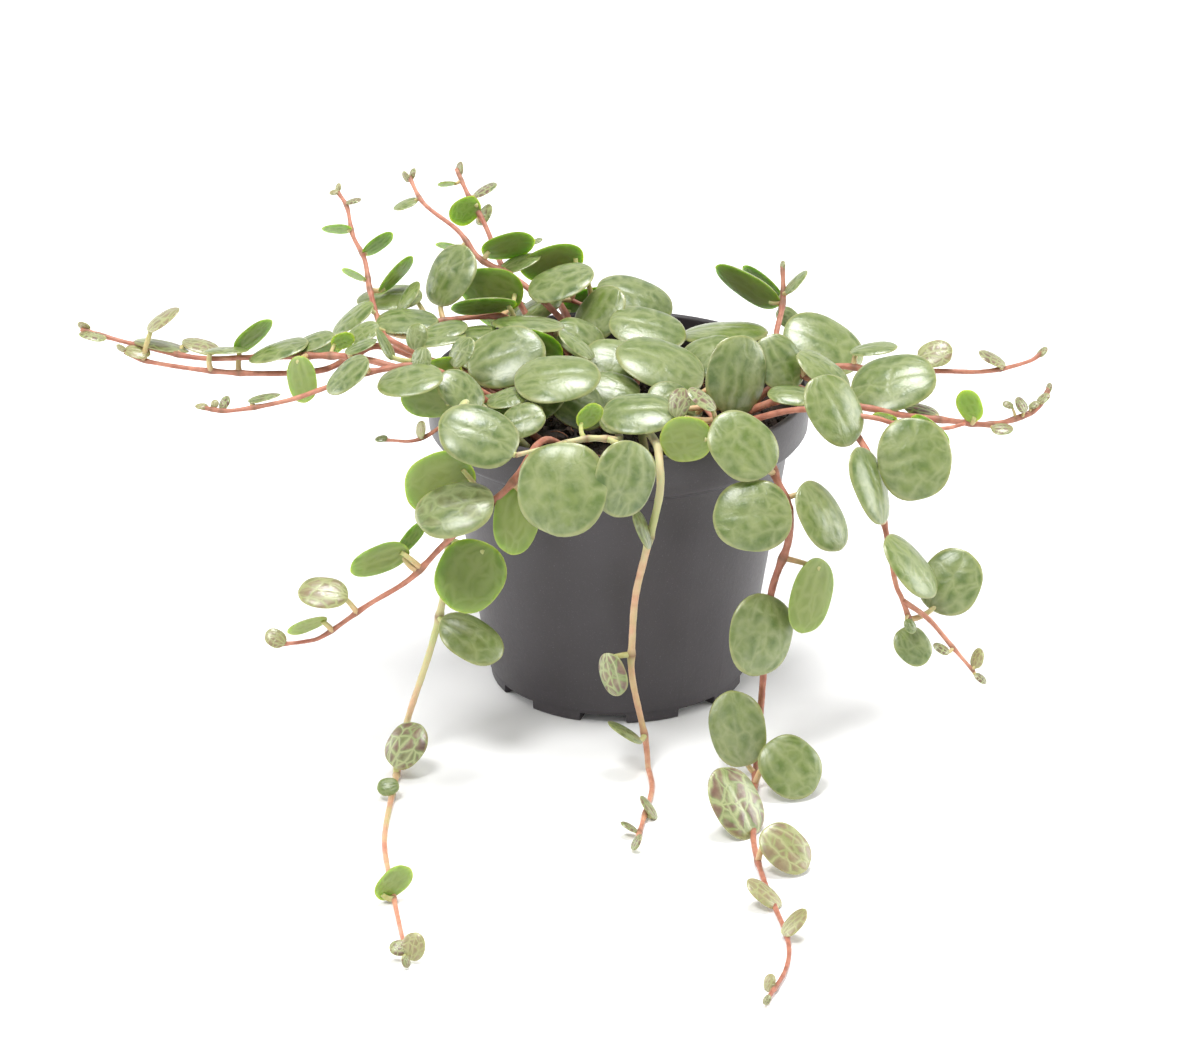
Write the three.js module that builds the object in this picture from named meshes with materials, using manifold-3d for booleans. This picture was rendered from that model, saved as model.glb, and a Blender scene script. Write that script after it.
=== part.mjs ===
// A string of turtles (Peperomia prostrata) in a 6 cm plastic nursery pot.
// Millimetres, +Z up. The origin is on the pot's axis, on the surface that it stands on.
// The plant has grown toward light from the front, so -Y is the front.
import * as THREE from "three";
import { mergeVertices } from "three/addons/utils/BufferGeometryUtils.js";
import Module from "manifold-3d";

const wasm = await Module();
wasm.setup();

// ---- Driving dimensions ----
const RIM_RADIUS = 30;
const POT_HEIGHT = 49.5;
const COLLAR_HEIGHT = 8.7;
const COLLAR_STEP = 2.6;
const BODY_TOP_RADIUS = 26.8;
const BASE_RADIUS = 20.5;
const WALL = 1.1;
const POT_FLOOR = 3;
const BASE_ROUNDING = 0.7;
const CHANNELS = 8;
const CHANNEL_WIDTH = 7.4;
const CHANNEL_DEPTH = 1.5;
const CHANNEL_START = 8;
const FIRST_CHANNEL = THREE.MathUtils.degToRad(-97);
const DRAIN_RADIUS = 1.5;
const DRAIN_DISTANCE = 14;
const DRAIN_SIDES = 8;
const SOIL_TOP = 45;
const SOIL_CROWN = 0.8;
const GAP = 0.32;
const POT_SIDES = 40;
const COLLAR_TAPER = 0.4;
const ROUNDING_SHARE = 0.3;

const LIGHT_ELEVATION = THREE.MathUtils.degToRad(24.5);
const STEM_SIDES = 5;
const STEM_STEP = 6;
const PETIOLE_SIDES = 3;
const PETIOLE_RADIUS = 0.42;
const THINNEST_PETIOLE = 0.1;
const PETIOLE_SHARE = 0.12;
const PETIOLE_REACH = 0.36;
const PETIOLE_DEPTH = 0.3;
const BLADE_THICKNESS = 0.11;
const THINNEST_BLADE = 0.5;
const BUD_LENGTH = 2.7;
const BLADE_SIDES = 8;
const LARGE_BLADE_RINGS = 4;
const SMALL_BLADE_RINGS = 2;
const OWN_NODE_LENGTH = 11;
const FLOOR_CLEARANCE = 0.02;
const CURVE_TENSION = 0.5;
const CURVE_SAMPLES = 200;
const WELD = 1e-4;

// ---- The shoots, chosen by hand ----
// Each row: name, stem radius, root [x, y] on the soil, route, leaves.
// A route point [right, up, toward] is measured from the middle of the rim, along the light:
// right is +X, toward is the way to the light, up is square to both.
// A route point with two numbers, [x, y], lies on the surface under the pot.
// A leaf: [right, up, toward, length, width, turn, roll, youth]. Turn is the long axis, in
// degrees up from the right. Roll turns the upper side away from the light: 90 is edge on,
// and past 90 the light falls on the underside.
const SHOOTS = [
  ["left_upper", 0.7, [-13, -9], [
    [-23, -1, 13], [-33, 1.5, 14], [-42, 3.5, 12], [-56, 3.5, 8], [-65, 3.5, 6], [-74.5, 5.5, 4],
    [-83.5, 8, 3]], [
    [-83, 8.5, 3, 2.2, 1.8, 160, 50, 0.9], [-81.5, 7, 4, 4.4, 3.4, -10, 62, 0.6],
    [-71, 5.5, 3, 8.8, 6, -11, 75, 0.5], [-65, 5.5, 2, 6, 4.8, -15, 60, 0.85],
    [-52.5, 4.5, 9, 9.7, 7.5, 18, 67, 0.35], [-47, 6, 8, 6.6, 5.5, 20, 60, 0.3],
    [-45.5, 5, 6, 5.7, 4.6, 10, 118, 0.1], [-42.5, 6, 10, 3.8, 3.2, 20, 140, 0],
    [-48.5, 0, 14, 7.3, 6.2, -80, 140, 0.3], [-39.5, 5, 14, 5.3, 4.2, 22, 66, 0.2]]],
  ["left_middle", 0.7, [-15, -2], [
    [-35, 5, 3], [-41.5, 3.5, 4], [-46, 1.5, 8], [-54.5, 1, 8], [-63.5, 1.5, 7], [-73, 3, 5],
    [-76.5, 4.5, 5]], [
    [-74.5, 4.5, 5, 4.1, 3.3, -10, 48, 0.9], [-77, 5, 5, 1.9, 1.5, 150, 50, 0.9],
    [-70.5, 9.5, 6, 6.1, 4.8, 35, 62, 0.85], [-56.5, 7, 7, 7.4, 5.8, 40, 115, 0.4],
    [-60.5, 4.5, 9, 6.9, 5, 2, 78, 0.4]]],
  ["left_lower", 0.65, [-12, -14], [
    [-27.5, 1, 20], [-37, 1, 21], [-44.5, -1.5, 20], [-50.5, -3.5, 20], [-59, -5, 20],
    [-63.5, -4.5, 19]], [
    [-63.5, -4.3, 19, 2, 1.6, 0, 55, 0.9], [-61.5, -4, 19, 1.5, 1.3, 60, 20, 0.9],
    [-60, -3.8, 19, 2.4, 2, 60, 40, 0.7], [-54, -3, 19, 5.1, 3.6, 12, 72, 0.5],
    [-41, 0.3, 24, 8, 6.8, 42, 53, 0.3]]],
  ["left_upright", 0.65, [-17, 3], [
    [-34, 5.5, 6], [-37, 8.5, 0], [-39, 14.5, -6], [-40, 19.5, -9], [-42, 23.5, -12],
    [-43, 28, -14], [-44.5, 30.5, -15]], [
    [-45, 30.5, -15, 1.8, 1.4, 10, 50, 0.9], [-44.5, 31.3, -16, 1.5, 1.2, 80, 40, 0.9],
    [-42, 29, -14, 2.6, 2, 15, 62, 0.7], [-44.5, 24.5, -12, 4.8, 3.8, 0, 110, 0.2],
    [-38, 22, -10, 5.8, 4.6, 35, 115, 0.2], [-41.5, 17, -7, 4.3, 3.4, -25, 108, 0.2],
    [-35, 17, -7, 7.7, 6, 47, 106, 0.2]]],
  ["left_short", 0.5, [-19, -8], [
    [-22.5, -1.5, 15], [-26, -6.5, 21.5], [-30.5, -9.5, 23.5], [-35.5, -9.5, 22]], [
    [-30, -8, 24, 2.8, 2.3, 85, 48, 0.95], [-36, -9.3, 22, 2, 1.6, 10, 50, 0.5]]],
  ["back_left", 0.65, [-2, 8], [
    [-8, 9, -12], [-13.5, 14.5, -13], [-17.5, 17.5, -14], [-22, 20, -15], [-25.5, 24.5, -17],
    [-31, 29, -20], [-33.5, 33.5, -23]], [
    [-34, 33.5, -23, 2, 1.6, 120, 50, 0.8], [-33, 34, -23.5, 2, 1.6, 75, 50, 0.8],
    [-34, 29, -21, 4.2, 3.4, 22, 60, 0.4], [-27, 22, -16, 4.2, 3, -10, 108, 0.4],
    [-17.5, 22, -15, 8.7, 7.4, 12, 120, 0.1], [-15.5, 19.5, -16, 6.8, 5.4, 20, 62, 0.2],
    [-13, 23, -20, 2, 1.6, 25, 60, 0.4]]],
  ["back_upright", 0.65, [-9, 14], [
    [-16, 13.5, -16], [-19, 20, -19], [-21, 25, -21], [-22.5, 28, -23], [-24, 30.5, -24],
    [-26, 35, -26]], [
    [-25.5, 35, -26, 2.4, 2, 85, 50, 0.8], [-27.5, 32.5, -25, 3.1, 2.4, 5, 105, 0.6],
    [-21.5, 31.5, -25, 4.5, 3.6, 30, 63, 0.7], [-24.5, 28, -22, 5.5, 4.8, 35, 148, 0.1],
    [-21.5, 27.5, -24.5, 3.9, 3.3, 60, 50, 0.5]]],
  ["right_upright", 0.7, [17, 4], [
    [24, 5, -6], [25, 8.5, -9], [26, 13, -11], [26, 18.5, -12]], [
    [26, 18.7, -12, 1.6, 1.3, 85, 50, 0.8], [20.5, 15.5, -12.5, 11.8, 9, -32, 112, 0.1],
    [23, 16, -16, 8.4, 6.4, -42, 112, 0.1], [28, 16, -10, 5, 4, 47, 68, 0.2],
    [27, 10.5, -14, 4.4, 3.8, -40, 30, 0.1], [25, 6.5, -1, 2.4, 2, -30, 130, 0]]],
  ["right_upper", 0.65, [16, -3], [
    [32, 2, 3], [42.5, 1, 5], [49, 1.5, 4], [57, 1.5, 3], [63.5, 3, 1], [66, 4.5, 0]], [
    [66, 4.6, 0, 2.1, 1.7, 45, 50, 0.8], [58, 3.5, 3, 4.7, 3.8, -28, 60, 0.8],
    [49, 4.2, 5, 5.5, 4.9, 15, 30, 0.85], [39.5, 5, 4, 7.5, 5.6, 8, 68, 0.2],
    [42, -0.5, 14, 13.3, 11.4, 15, 40, 0.05]]],
  ["right_middle", 0.75, [14, -10], [
    [26, -3, 14.5], [37.5, -4.5, 18], [42.5, -5.5, 17], [51, -6.5, 16], [56.5, -7, 15],
    [61, -6, 14], [64, -4.5, 13], [66, -1.5, 12]], [
    [66, -1.3, 12, 1.6, 1.3, 80, 50, 0.8], [65, -3, 13, 2.4, 2, 40, 50, 0.8],
    [63.5, -4, 14, 1.8, 1.5, 30, 45, 0.8], [61.5, -4, 15, 2.7, 2.3, -60, 40, 0.7],
    [59.5, -4, 15, 1.8, 1.5, -20, 40, 0.8], [58.5, -7.7, 16, 3.4, 2.8, 0, 48, 0.8],
    [53.5, -4.2, 17, 5.2, 4.4, -65, 146, 0.2], [46.5, -4.8, 12, 5.7, 4.4, -15, 60, 0.7]]],
  ["right_lower", 0.65, [10, -15], [
    [26, -5, 20.5], [37.5, -6, 23], [41.5, -7, 23], [45.5, -7.7, 22], [49.5, -7.7, 21],
    [52.5, -7, 20]], [
    [47, -8, 26, 7.1, 5.4, -38, 113, 0.1], [40.5, -6, 19, 4, 3.2, -15, 112, 0.6]]],
  ["right_drop", 0.75, [18, -7], [
    [24, -1, 5], [29.5, -2, 8], [34, -5.5, 16], [36.5, -9.5, 22], [38, -13, 25], [40, -23, 28],
    [41.5, -31, 28], [42.5, -33.5, 28], [44.5, -39, 27]], [
    [44, -12.5, 33, 11.2, 12.6, 5, 4, 0.05], [37.5, -16.5, 34, 12.1, 9, -72, 54, 0.1],
    [43.5, -28.5, 33, 11.5, 9, -52, 55, 0.1], [50, -31, 25, 10.4, 9.4, 60, 10, 0.15],
    [44, -40.5, 30, 6.4, 5.6, -50, 20, 0.2], [43.5, -37.5, 32, 2.4, 2, -60, 30, 0.3]]],
  ["front_right", 0.7, [9, -19], [
    [17, -7, 17], [21, -8, 21.5], [22.5, -11.5, 25], [23.5, -15, 27], [25.5, -20, 27],
    [25.5, -25, 24.5], [23, -33, 21.5], [22, -46, 15.5], [21.5, -54.5, 11.5], [21, -37],
    [20.5, -45], [20, -61], [21.5, -75], [24, -90], [23.5, -99], [20.5, -108]], [
    [18.5, -10.5, 31, 11.6, 10.2, -45, 22, 0], [20, -21, 31.5, 11.9, 11, 0, 8, 0],
    [30.5, -21, 27, 11.6, 9.4, -62, 45, 0.05], [29, -33, 22.5, 11.7, 9.4, 75, 134, 0.1],
    [21.5, -39, 22.5, 12.6, 10.8, 80, -25, 0.05], [18, -53.5, 16, 11.8, 9.8, -80, -28, 0.25],
    [26, -59, 21.5, 10.2, 9.4, -45, 18, 0.3], [17.5, -64, 32, 11.5, 9.2, -62, 38, 0.65],
    [24.5, -70, 43, 8.7, 7.2, -42, 30, 0.85], [21, -76, 52.5, 6.2, 4.4, -38, 55, 0.9],
    [25, -79.5, 61.5, 5, 4, 48, 58, 0.9], [21, -87, 74.5, 2.6, 2.1, 75, 40, 0.95],
    [20.5, -89, 79, 1.6, 1.3, 60, 40, 0.6]]],
  ["front_middle", 0.75, [4, -20], [
    [3.5, -7.5, 19], [5.5, -10, 26], [6, -13, 30.5], [6, -18, 29.5], [4, -26.5, 26],
    [2.5, -33, 23], [2, -39.5, 20.5], [2, -45.5, 17.5], [4, -55, 13.5], [4.5, -37], [5, -43.5], [4, -51],
    [2.5, -61]], [
    [3.5, -23, 29.5, 6.4, 5, -70, 68, 0.4],
    [-1, -45, 20.5, 6.8, 5.4, -72, -42, 0.65], [1, -54, 16, 6.2, 4.6, -32, 75, 0.4],
    [4.5, -65, 27, 4.3, 3, -55, 66, 0.6], [1.5, -67.5, 32.5, 3, 2.2, -30, 70, 0.6],
    [2.5, -69.5, 37, 2.7, 2.1, 60, 58, 0.6]]],
  ["front_left", 0.7, [-14, -17], [
    [-21.5, -4, 19], [-24, -5, 24], [-24.5, -10, 27], [-25.5, -17.5, 26], [-26, -27, 21.5],
    [-27, -34.5, 18], [-29, -42, 15], [-32.5, -52.5, 11.5], [-33.5, -34], [-34.5, -46.5],
    [-35, -60.5], [-33.5, -74], [-31.5, -88.5], [-30.5, -95]], [
    [-22.5, -30, 25, 11.3, 10.6, 60, 172, 0.2], [-22.5, -39.5, 20, 10.8, 8.8, -32, 43, 0.35],
    [-32.5, -56, 16, 7.7, 6.6, 55, 27, 0.6], [-35, -62, 22, 3.4, 2.9, 10, 20, 0.1],
    [-33, -74.5, 51.5, 6.5, 5.4, 42, 135, 0.5], [-29.5, -82.5, 67.5, 4.1, 3.6, 80, 15, 0.95],
    [-31.5, -82.7, 67, 2.9, 2.5, 0, 25, 0.8], [-30.5, -84.5, 69, 1.9, 1.5, -70, 40, 0.6]]],
  ["left_front", 0.65, [-7, -19], [
    [-10.5, -9.5, 22.5], [-12.5, -10.5, 26.5], [-14, -13, 30], [-16, -16, 31],
    [-18.5, -18.5, 31], [-26, -25, 29], [-31.5, -30.5, 27.5], [-38, -34.5, 25.5],
    [-44.5, -39, 23.5], [-47.5, -40, 22.5],
    [-52, -40.5, 21.5]], [
    [-24.5, -20, 34.5, 12.1, 9.8, 15, 35, 0.4], [-27, -16, 28.5, 11, 9.6, 30, 160, 0.1],
    [-15.5, -21.5, 29, 10.6, 8.8, 80, 143, 0.05], [-36, -27.5, 29, 9.4, 7.4, 22, 124, 0.4],
    [-31.5, -24.5, 27.5, 6.4, 5, 50, 114, 0.3], [-44.5, -32.5, 27, 7.6, 6.2, -5, 40, 0.85],
    [-47, -37.5, 25.5, 6.4, 4.8, 20, 112, 0.5], [-52, -39.5, 22.5, 3.4, 3, -30, 22, 0.85]]],
  ["front_creeper", 0.7, [0, -12], [
    [0, -9.5, 22], [-1.5, -9.5, 31], [-5, -9.5, 33], [-9.5, -10.5, 33], [-13.5, -11.5, 34],
    [-15.5, -12, 34.5]], [
    [-8.5, -17, 37, 14.1, 13.7, 84, 8, 0.15], [-21, -9, 34.5, 12.4, 10.6, -20, 30, 0.2],
    [0.8, -15.5, 36, 11.6, 10, 76, -26, 0.1], [-4.5, -6, 29, 4.6, 3.9, 40, 142, 0.1]]],
  ["crown_left", 0.7, [-6, 3], [
    [-9, 6.5, -3], [-15.5, 9, -6], [-19, 10.5, -8], [-26.5, 10, -8], [-31.5, 9, -6],
    [-35, 7.5, -3]], [
    [-26.5, 17, -9, 10.5, 8.8, 62, 36, 0.1], [-20, 15, -13, 10.3, 8.6, -10, 142, 0],
    [-21, 12, -4, 10.4, 8, 5, 105, 0], [-33, 9.5, 0, 9.8, 7.8, 2, 58, 0],
    [-27, 8, 3, 7.2, 5.8, 10, 60, 0], [-14, 9, -1, 11.4, 9, -3, 73, 0.05],
    [-23, 7.5, 0, 8.2, 6.6, 8, 68, 0.1], [-36, 13.5, -9, 10.5, 8.4, 5, 60, 0],
    [-33, 13.5, -5, 5.7, 4.6, 55, 60, 0.1], [-41.5, 10, -2, 7.9, 6.2, 38, 62, 0.15],
    [-39.5, 7.5, 5, 5.3, 4.4, 25, 45, 0.15]]],
  ["crown_front", 0.7, [-11, -4], [
    [-10.5, -3, 6], [-15, -1.5, 7], [-21.5, 0.5, 6], [-26.5, 2.5, 6], [-30, 3.5, 6]], [
    [-31, 6.5, 13, 4.2, 3.6, 80, 20, 0.35], [-24, 4, 17, 5.2, 4.4, 60, 38, 0.35],
    [-30, 2.5, 22, 4.3, 3.7, 80, 32, 0.35], [-31.5, -0.5, 25, 10.1, 8.2, 10, 53, 0.05],
    [-24, -2, 21, 8, 6.8, -40, 35, 0.05], [-29, -3.5, 20, 8.3, 6.8, -5, 136, 0],
    [-17.5, 3.5, 9, 12.5, 10.6, 20, 28, 0.1], [-9.5, 0, 18, 13.3, 10.8, 5, 46, 0.05],
    [-17, -3, 18, 6.5, 5.2, 15, 54, 0.05], [-14.5, -6.5, 22, 6.8, 5.8, 20, 26, 0.05],
    [-13, 5, 2, 9.4, 7.8, -20, 137, 0], [-6.5, 5.5, 6, 6.9, 5.2, -38, 65, 0],
    [-28, 6.5, 4, 8.7, 6.8, 10, 70, 0.1], [-27, 1.5, 15, 6.2, 5.2, 10, 133, 0],
    [-6, -4, 13, 9.5, 8.2, -25, 30, 0], [-20.5, -5.5, 17, 8.4, 7.2, 30, 40, 0],
    [-12, -3, 13, 8.6, 7.6, 40, 34, 0], [-22, 4, 5, 8.2, 7, -20, 42, 0],
    [-36, 5.5, 9, 5.6, 4.4, -62, 70, 0]]],
  ["crown_back", 0.7, [2, 2], [
    [3.5, 4, -5], [0.5, 8, -11], [-3.5, 11.5, -15], [-7.5, 13.5, -17]], [
    [-10.5, 19.5, -18, 10.4, 8.6, 14, 128, 0], [-9, 16, -9, 10.9, 8.8, 20, 50, 0.1],
    [2.5, 13.5, -14, 12.6, 10.4, -20, 44, 0], [-3, 11, -9, 9.9, 8.4, 55, 36, 0.05],
    [4.5, 8.5, -5, 12.4, 10.2, -12, 48, 0], [-6, 7, -4, 8.6, 7.6, -30, 40, 0],
    [-13, 12, -16, 9, 7.8, 30, 60, 0], [16.5, 8, -9, 14, 10.6, 3, 70, 0.1]]],
  ["crown_right", 0.7, [8, -6], [
    [8, -2, 3], [10, -2, 6], [12, -3, 12], [14.5, -6.5, 22]], [
    [6.5, 2.5, 7, 14.4, 11.6, -20, 48, 0.05], [-0.5, 3.5, 2, 9.4, 7.8, -15, 36, 0],
    [18, 0.5, 14, 12.4, 10.6, 80, -28, 0.05], [24.8, 2.6, 10, 9.4, 8, -60, 22, 0.1],
    [-1, -1.5, 10, 8.7, 7.2, -10, 38, 0], [3, -5.5, 25, 11.6, 9.4, 3, 47, 0.05],
    [14, 4, 2, 9.6, 8.4, 20, 42, 0], [8.5, -4, 15, 9, 7.8, -30, 34, 0],
    [1, -5.5, 18, 8.4, 7.4, 20, 40, 0], [9, -4, 27, 4.6, 4, 80, 33, 0.8],
    [12.5, -3.5, 28, 5.2, 4, -38, 55, 0.7], [10, -9.5, 30, 7.9, 7.2, 0, 162, 0]]],
  ["crown_edge", 0.7, [13, -2], [
    [20, 1.5, 4], [27, 1, 8], [30, -0.5, 12]], [
    [32, 6, -4, 13.4, 11.4, -25, 38, 0], [31.5, 1.2, 11, 10, 7.6, -38, 54, 0.05],
    [32.5, -5, 25, 11.6, 9.8, -62, 33, 0], [26.5, -2.5, 16, 7.6, 5.6, -5, 56, 0]]],
  ["rear_left", 0.7, [-5, 17], [
    [-9, 12.5, -21], [-12, 15, -28], [-14, 9.5, -34], [-15, -1, -40], [-17, -13.5, -47],
    [-18, -21, -50]], [
    [-4, 13, -27, 10.5, 9, 10, 131, 0], [-18, 12, -28, 10.8, 9.2, -15, 125, 0.05],
    [-9, 4, -40, 9.8, 8.6, 30, 140, 0.1], [-20, -2, -42, 9, 8, -30, 138, 0.2],
    [-12, -12, -49, 7.6, 6.6, 50, 150, 0.5], [-22, -17, -49, 5.8, 5, -20, 140, 0.8],
    [-17, -24, -53, 4, 3.4, 80, 140, 0.9]]],
  ["rear_right", 0.7, [4, 14], [
    [1, 11.5, -20], [2, 13.5, -28], [5, 7, -34], [10, -1, -39], [15, -8, -43], [18, -14, -46]], [
    [0, 11, -29, 10, 8.6, 15, 128, 0], [9, 3.5, -37, 11.2, 9.6, -15, 130, 0.05],
    [4, -2, -42, 9.4, 8, 25, 140, 0.1], [15, -3, -42, 8.8, 7.6, -30, 138, 0.2],
    [12, -11, -47, 8, 7, 40, 142, 0.4], [20, -11, -45, 6.4, 5.4, -40, 135, 0.6],
    [18, -17, -49, 4.2, 3.6, 70, 140, 0.9]]],
];

const BRANCH = ["right_drop_branch", 0.5, null, [
  [42.7, -33.8, 28], [46.5, -36.5, 27], [50, -40.5, 26], [53.5, -44.5, 25]], [
  [54, -42.5, 25, 3.2, 2.7, 75, 48, 0.9], [54.5, -45.5, 25, 2.3, 1.8, -38, 50, 0.7],
  [48.5, -41, 27, 2.8, 2.2, -30, 50, 0.6]]];

// ---- Directions that the plant grows by ----
const RIGHT = new THREE.Vector3(1, 0, 0);
const UP = new THREE.Vector3(0, Math.sin(LIGHT_ELEVATION), Math.cos(LIGHT_ELEVATION));
const TOWARD = new THREE.Vector3(0, -Math.cos(LIGHT_ELEVATION), Math.sin(LIGHT_ELEVATION));

function plantPoint([right, up, toward]) {
  return new THREE.Vector3(0, 0, POT_HEIGHT)
    .addScaledVector(RIGHT, right)
    .addScaledVector(UP, up)
    .addScaledVector(TOWARD, toward);
}

// ---- Solids ----
function solidOf(geometry) {
  const bare = geometry.clone();
  bare.deleteAttribute("normal");
  bare.deleteAttribute("uv");
  const merged = mergeVertices(bare, WELD);
  const mesh = new wasm.Mesh({
    numProp: 3,
    vertProperties: new Float32Array(merged.attributes.position.array),
    triVerts: new Uint32Array(merged.index.array),
  });
  mesh.merge();
  return new wasm.Manifold(mesh);
}

function geometryOf(solid) {
  const mesh = solid.getMesh();
  const geometry = new THREE.BufferGeometry();
  geometry.setAttribute("position", new THREE.BufferAttribute(mesh.vertProperties, 3));
  geometry.setIndex(new THREE.BufferAttribute(mesh.triVerts, 1));
  geometry.computeVertexNormals();
  return geometry;
}

function boxesMeet(first, second) {
  const a = first.boundingBox();
  const b = second.boundingBox();
  return [0, 1, 2].every((i) => a.min[i] < b.max[i] && b.min[i] < a.max[i]);
}

function cutAway(solid, others) {
  return others
    .filter((other) => boxesMeet(solid, other))
    .reduce((left, other) => left.subtract(other), solid);
}

function largestPart(solid) {
  const parts = solid.decompose();
  return parts.reduce((best, part) => (part.volume() > best.volume() ? part : best));
}

// ---- Pot and soil ----
function potProfile(margin) {
  const outer = [
    [BASE_RADIUS - BASE_ROUNDING, 0],
    [BASE_RADIUS - BASE_ROUNDING * ROUNDING_SHARE, BASE_ROUNDING * ROUNDING_SHARE],
    [BASE_RADIUS, BASE_ROUNDING],
    [BODY_TOP_RADIUS, POT_HEIGHT - COLLAR_HEIGHT],
    [RIM_RADIUS - COLLAR_TAPER, POT_HEIGHT - COLLAR_HEIGHT + COLLAR_STEP],
    [RIM_RADIUS, POT_HEIGHT],
  ];
  const inner = [
    [RIM_RADIUS - WALL, POT_HEIGHT],
    [RIM_RADIUS - WALL, POT_HEIGHT - COLLAR_HEIGHT + COLLAR_STEP],
    [BODY_TOP_RADIUS - WALL, POT_HEIGHT - COLLAR_HEIGHT],
    [BASE_RADIUS - WALL, POT_FLOOR],
  ];
  const grown = (row, side) => row.map(([radius, height]) => [radius + side * margin, height]);
  const lifted = (row) => row.map(([radius, height]) =>
    [radius, height === POT_HEIGHT ? height + margin : height]);
  return [[0, -margin], ...grown(lifted(outer), 1), ...grown(lifted(inner), -1),
    [0, POT_FLOOR + margin]];
}

function lathe(profile) {
  const points = profile.map(([radius, height]) => new THREE.Vector2(radius, height));
  return new THREE.LatheGeometry(points, POT_SIDES).rotateX(Math.PI / 2);
}

function drainCuts() {
  const reach = RIM_RADIUS;
  const cuts = [];
  for (let i = 0; i < CHANNELS; i += 1) {
    const angle = FIRST_CHANNEL + (i * 2 * Math.PI) / CHANNELS;
    const channel = new THREE.BoxGeometry(reach, CHANNEL_WIDTH, CHANNEL_DEPTH * 2);
    channel.translate(CHANNEL_START + reach / 2, 0, 0);
    cuts.push(solidOf(channel.rotateZ(angle)));
    const drain = new THREE.CylinderGeometry(DRAIN_RADIUS, DRAIN_RADIUS, POT_FLOOR * 4, DRAIN_SIDES);
    drain.rotateX(Math.PI / 2).translate(DRAIN_DISTANCE, 0, 0);
    cuts.push(solidOf(drain.rotateZ(angle)));
  }
  return cuts;
}

function buildPot() {
  return cutAway(solidOf(lathe(potProfile(0))), drainCuts());
}

function soilSolid(margin) {
  const step = POT_HEIGHT - COLLAR_HEIGHT;
  return solidOf(lathe([
    [0, POT_FLOOR + GAP],
    [BASE_RADIUS - WALL - GAP, POT_FLOOR + GAP],
    [BODY_TOP_RADIUS - WALL - GAP, step],
    [RIM_RADIUS - WALL - GAP, step + COLLAR_STEP],
    [RIM_RADIUS - WALL - GAP, SOIL_TOP - SOIL_CROWN + margin],
    [RIM_RADIUS / 2, SOIL_TOP - SOIL_CROWN / 4 + margin],
    [0, SOIL_TOP + margin],
  ]));
}

// ---- Stems, petioles and blades ----
class StemCurve extends THREE.CatmullRomCurve3 {
  constructor(points, lowest) {
    super(points, false, "catmullrom", CURVE_TENSION);
    this.lowest = lowest;
  }

  getPoint(t, target = new THREE.Vector3()) {
    super.getPoint(t, target);
    target.z = Math.max(target.z, this.lowest);
    return target;
  }
}

function stemCurve([, radius, root, route]) {
  const lowest = radius + FLOOR_CLEARANCE;
  const start = root ? [new THREE.Vector3(root[0], root[1], SOIL_TOP + radius)] : [];
  const points = route.map((place) => (
    place.length === 2 ? new THREE.Vector3(place[0], place[1], lowest) : plantPoint(place)));
  return new StemCurve([...start, ...points], lowest);
}

function ring(radius, sides) {
  const shape = new THREE.Shape();
  for (let i = 0; i < sides; i += 1) {
    const angle = ((i + 0.5) / sides) * 2 * Math.PI;
    const x = Math.cos(angle) * radius;
    const y = Math.sin(angle) * radius;
    if (i === 0) shape.moveTo(x, y);
    else shape.lineTo(x, y);
  }
  shape.closePath();
  return shape;
}

function tubeSolid(curve, radius, margin) {
  const steps = Math.ceil(curve.getLength() / STEM_STEP);
  return solidOf(new THREE.ExtrudeGeometry(ring(radius + margin, STEM_SIDES), {
    extrudePath: curve,
    steps,
    bevelEnabled: false,
  }));
}

function nearestOnCurve(curve, point) {
  const samples = curve.getPoints(CURVE_SAMPLES);
  return samples.reduce((best, sample) => (
    sample.distanceTo(point) < best.distanceTo(point) ? sample : best));
}

// The blade's own directions and place, lifted where it would dip below the surface.
function bladeFrame([right, up, toward, length, width, turn, roll]) {
  const turned = THREE.MathUtils.degToRad(turn);
  const rolled = THREE.MathUtils.degToRad(roll);
  const along = new THREE.Vector3()
    .addScaledVector(RIGHT, Math.cos(turned))
    .addScaledVector(UP, Math.sin(turned));
  const side = new THREE.Vector3().crossVectors(TOWARD, along);
  const normal = new THREE.Vector3()
    .addScaledVector(TOWARD, Math.cos(rolled))
    .addScaledVector(side, Math.sin(rolled));
  const across = new THREE.Vector3().crossVectors(normal, along);
  const thickness = Math.max(length * BLADE_THICKNESS, THINNEST_BLADE);
  const centre = plantPoint([right, up, toward]);
  const drop = Math.hypot(along.z * length, across.z * width, normal.z * thickness) / 2;
  centre.z = Math.max(centre.z, drop + FLOOR_CLEARANCE);
  return { along, across, normal, centre, length, width, thickness };
}

function bladeSolid(frame, margin) {
  const rings = frame.length >= OWN_NODE_LENGTH ? LARGE_BLADE_RINGS : SMALL_BLADE_RINGS;
  const geometry = new THREE.SphereGeometry(1, BLADE_SIDES, rings);
  geometry.rotateX(Math.PI / 2);
  geometry.scale(frame.length / 2 + margin, frame.width / 2 + margin,
    frame.thickness / 2 + margin);
  const basis = new THREE.Matrix4().makeBasis(frame.along, frame.across, frame.normal);
  geometry.applyMatrix4(basis.setPosition(frame.centre));
  return solidOf(geometry);
}

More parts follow.
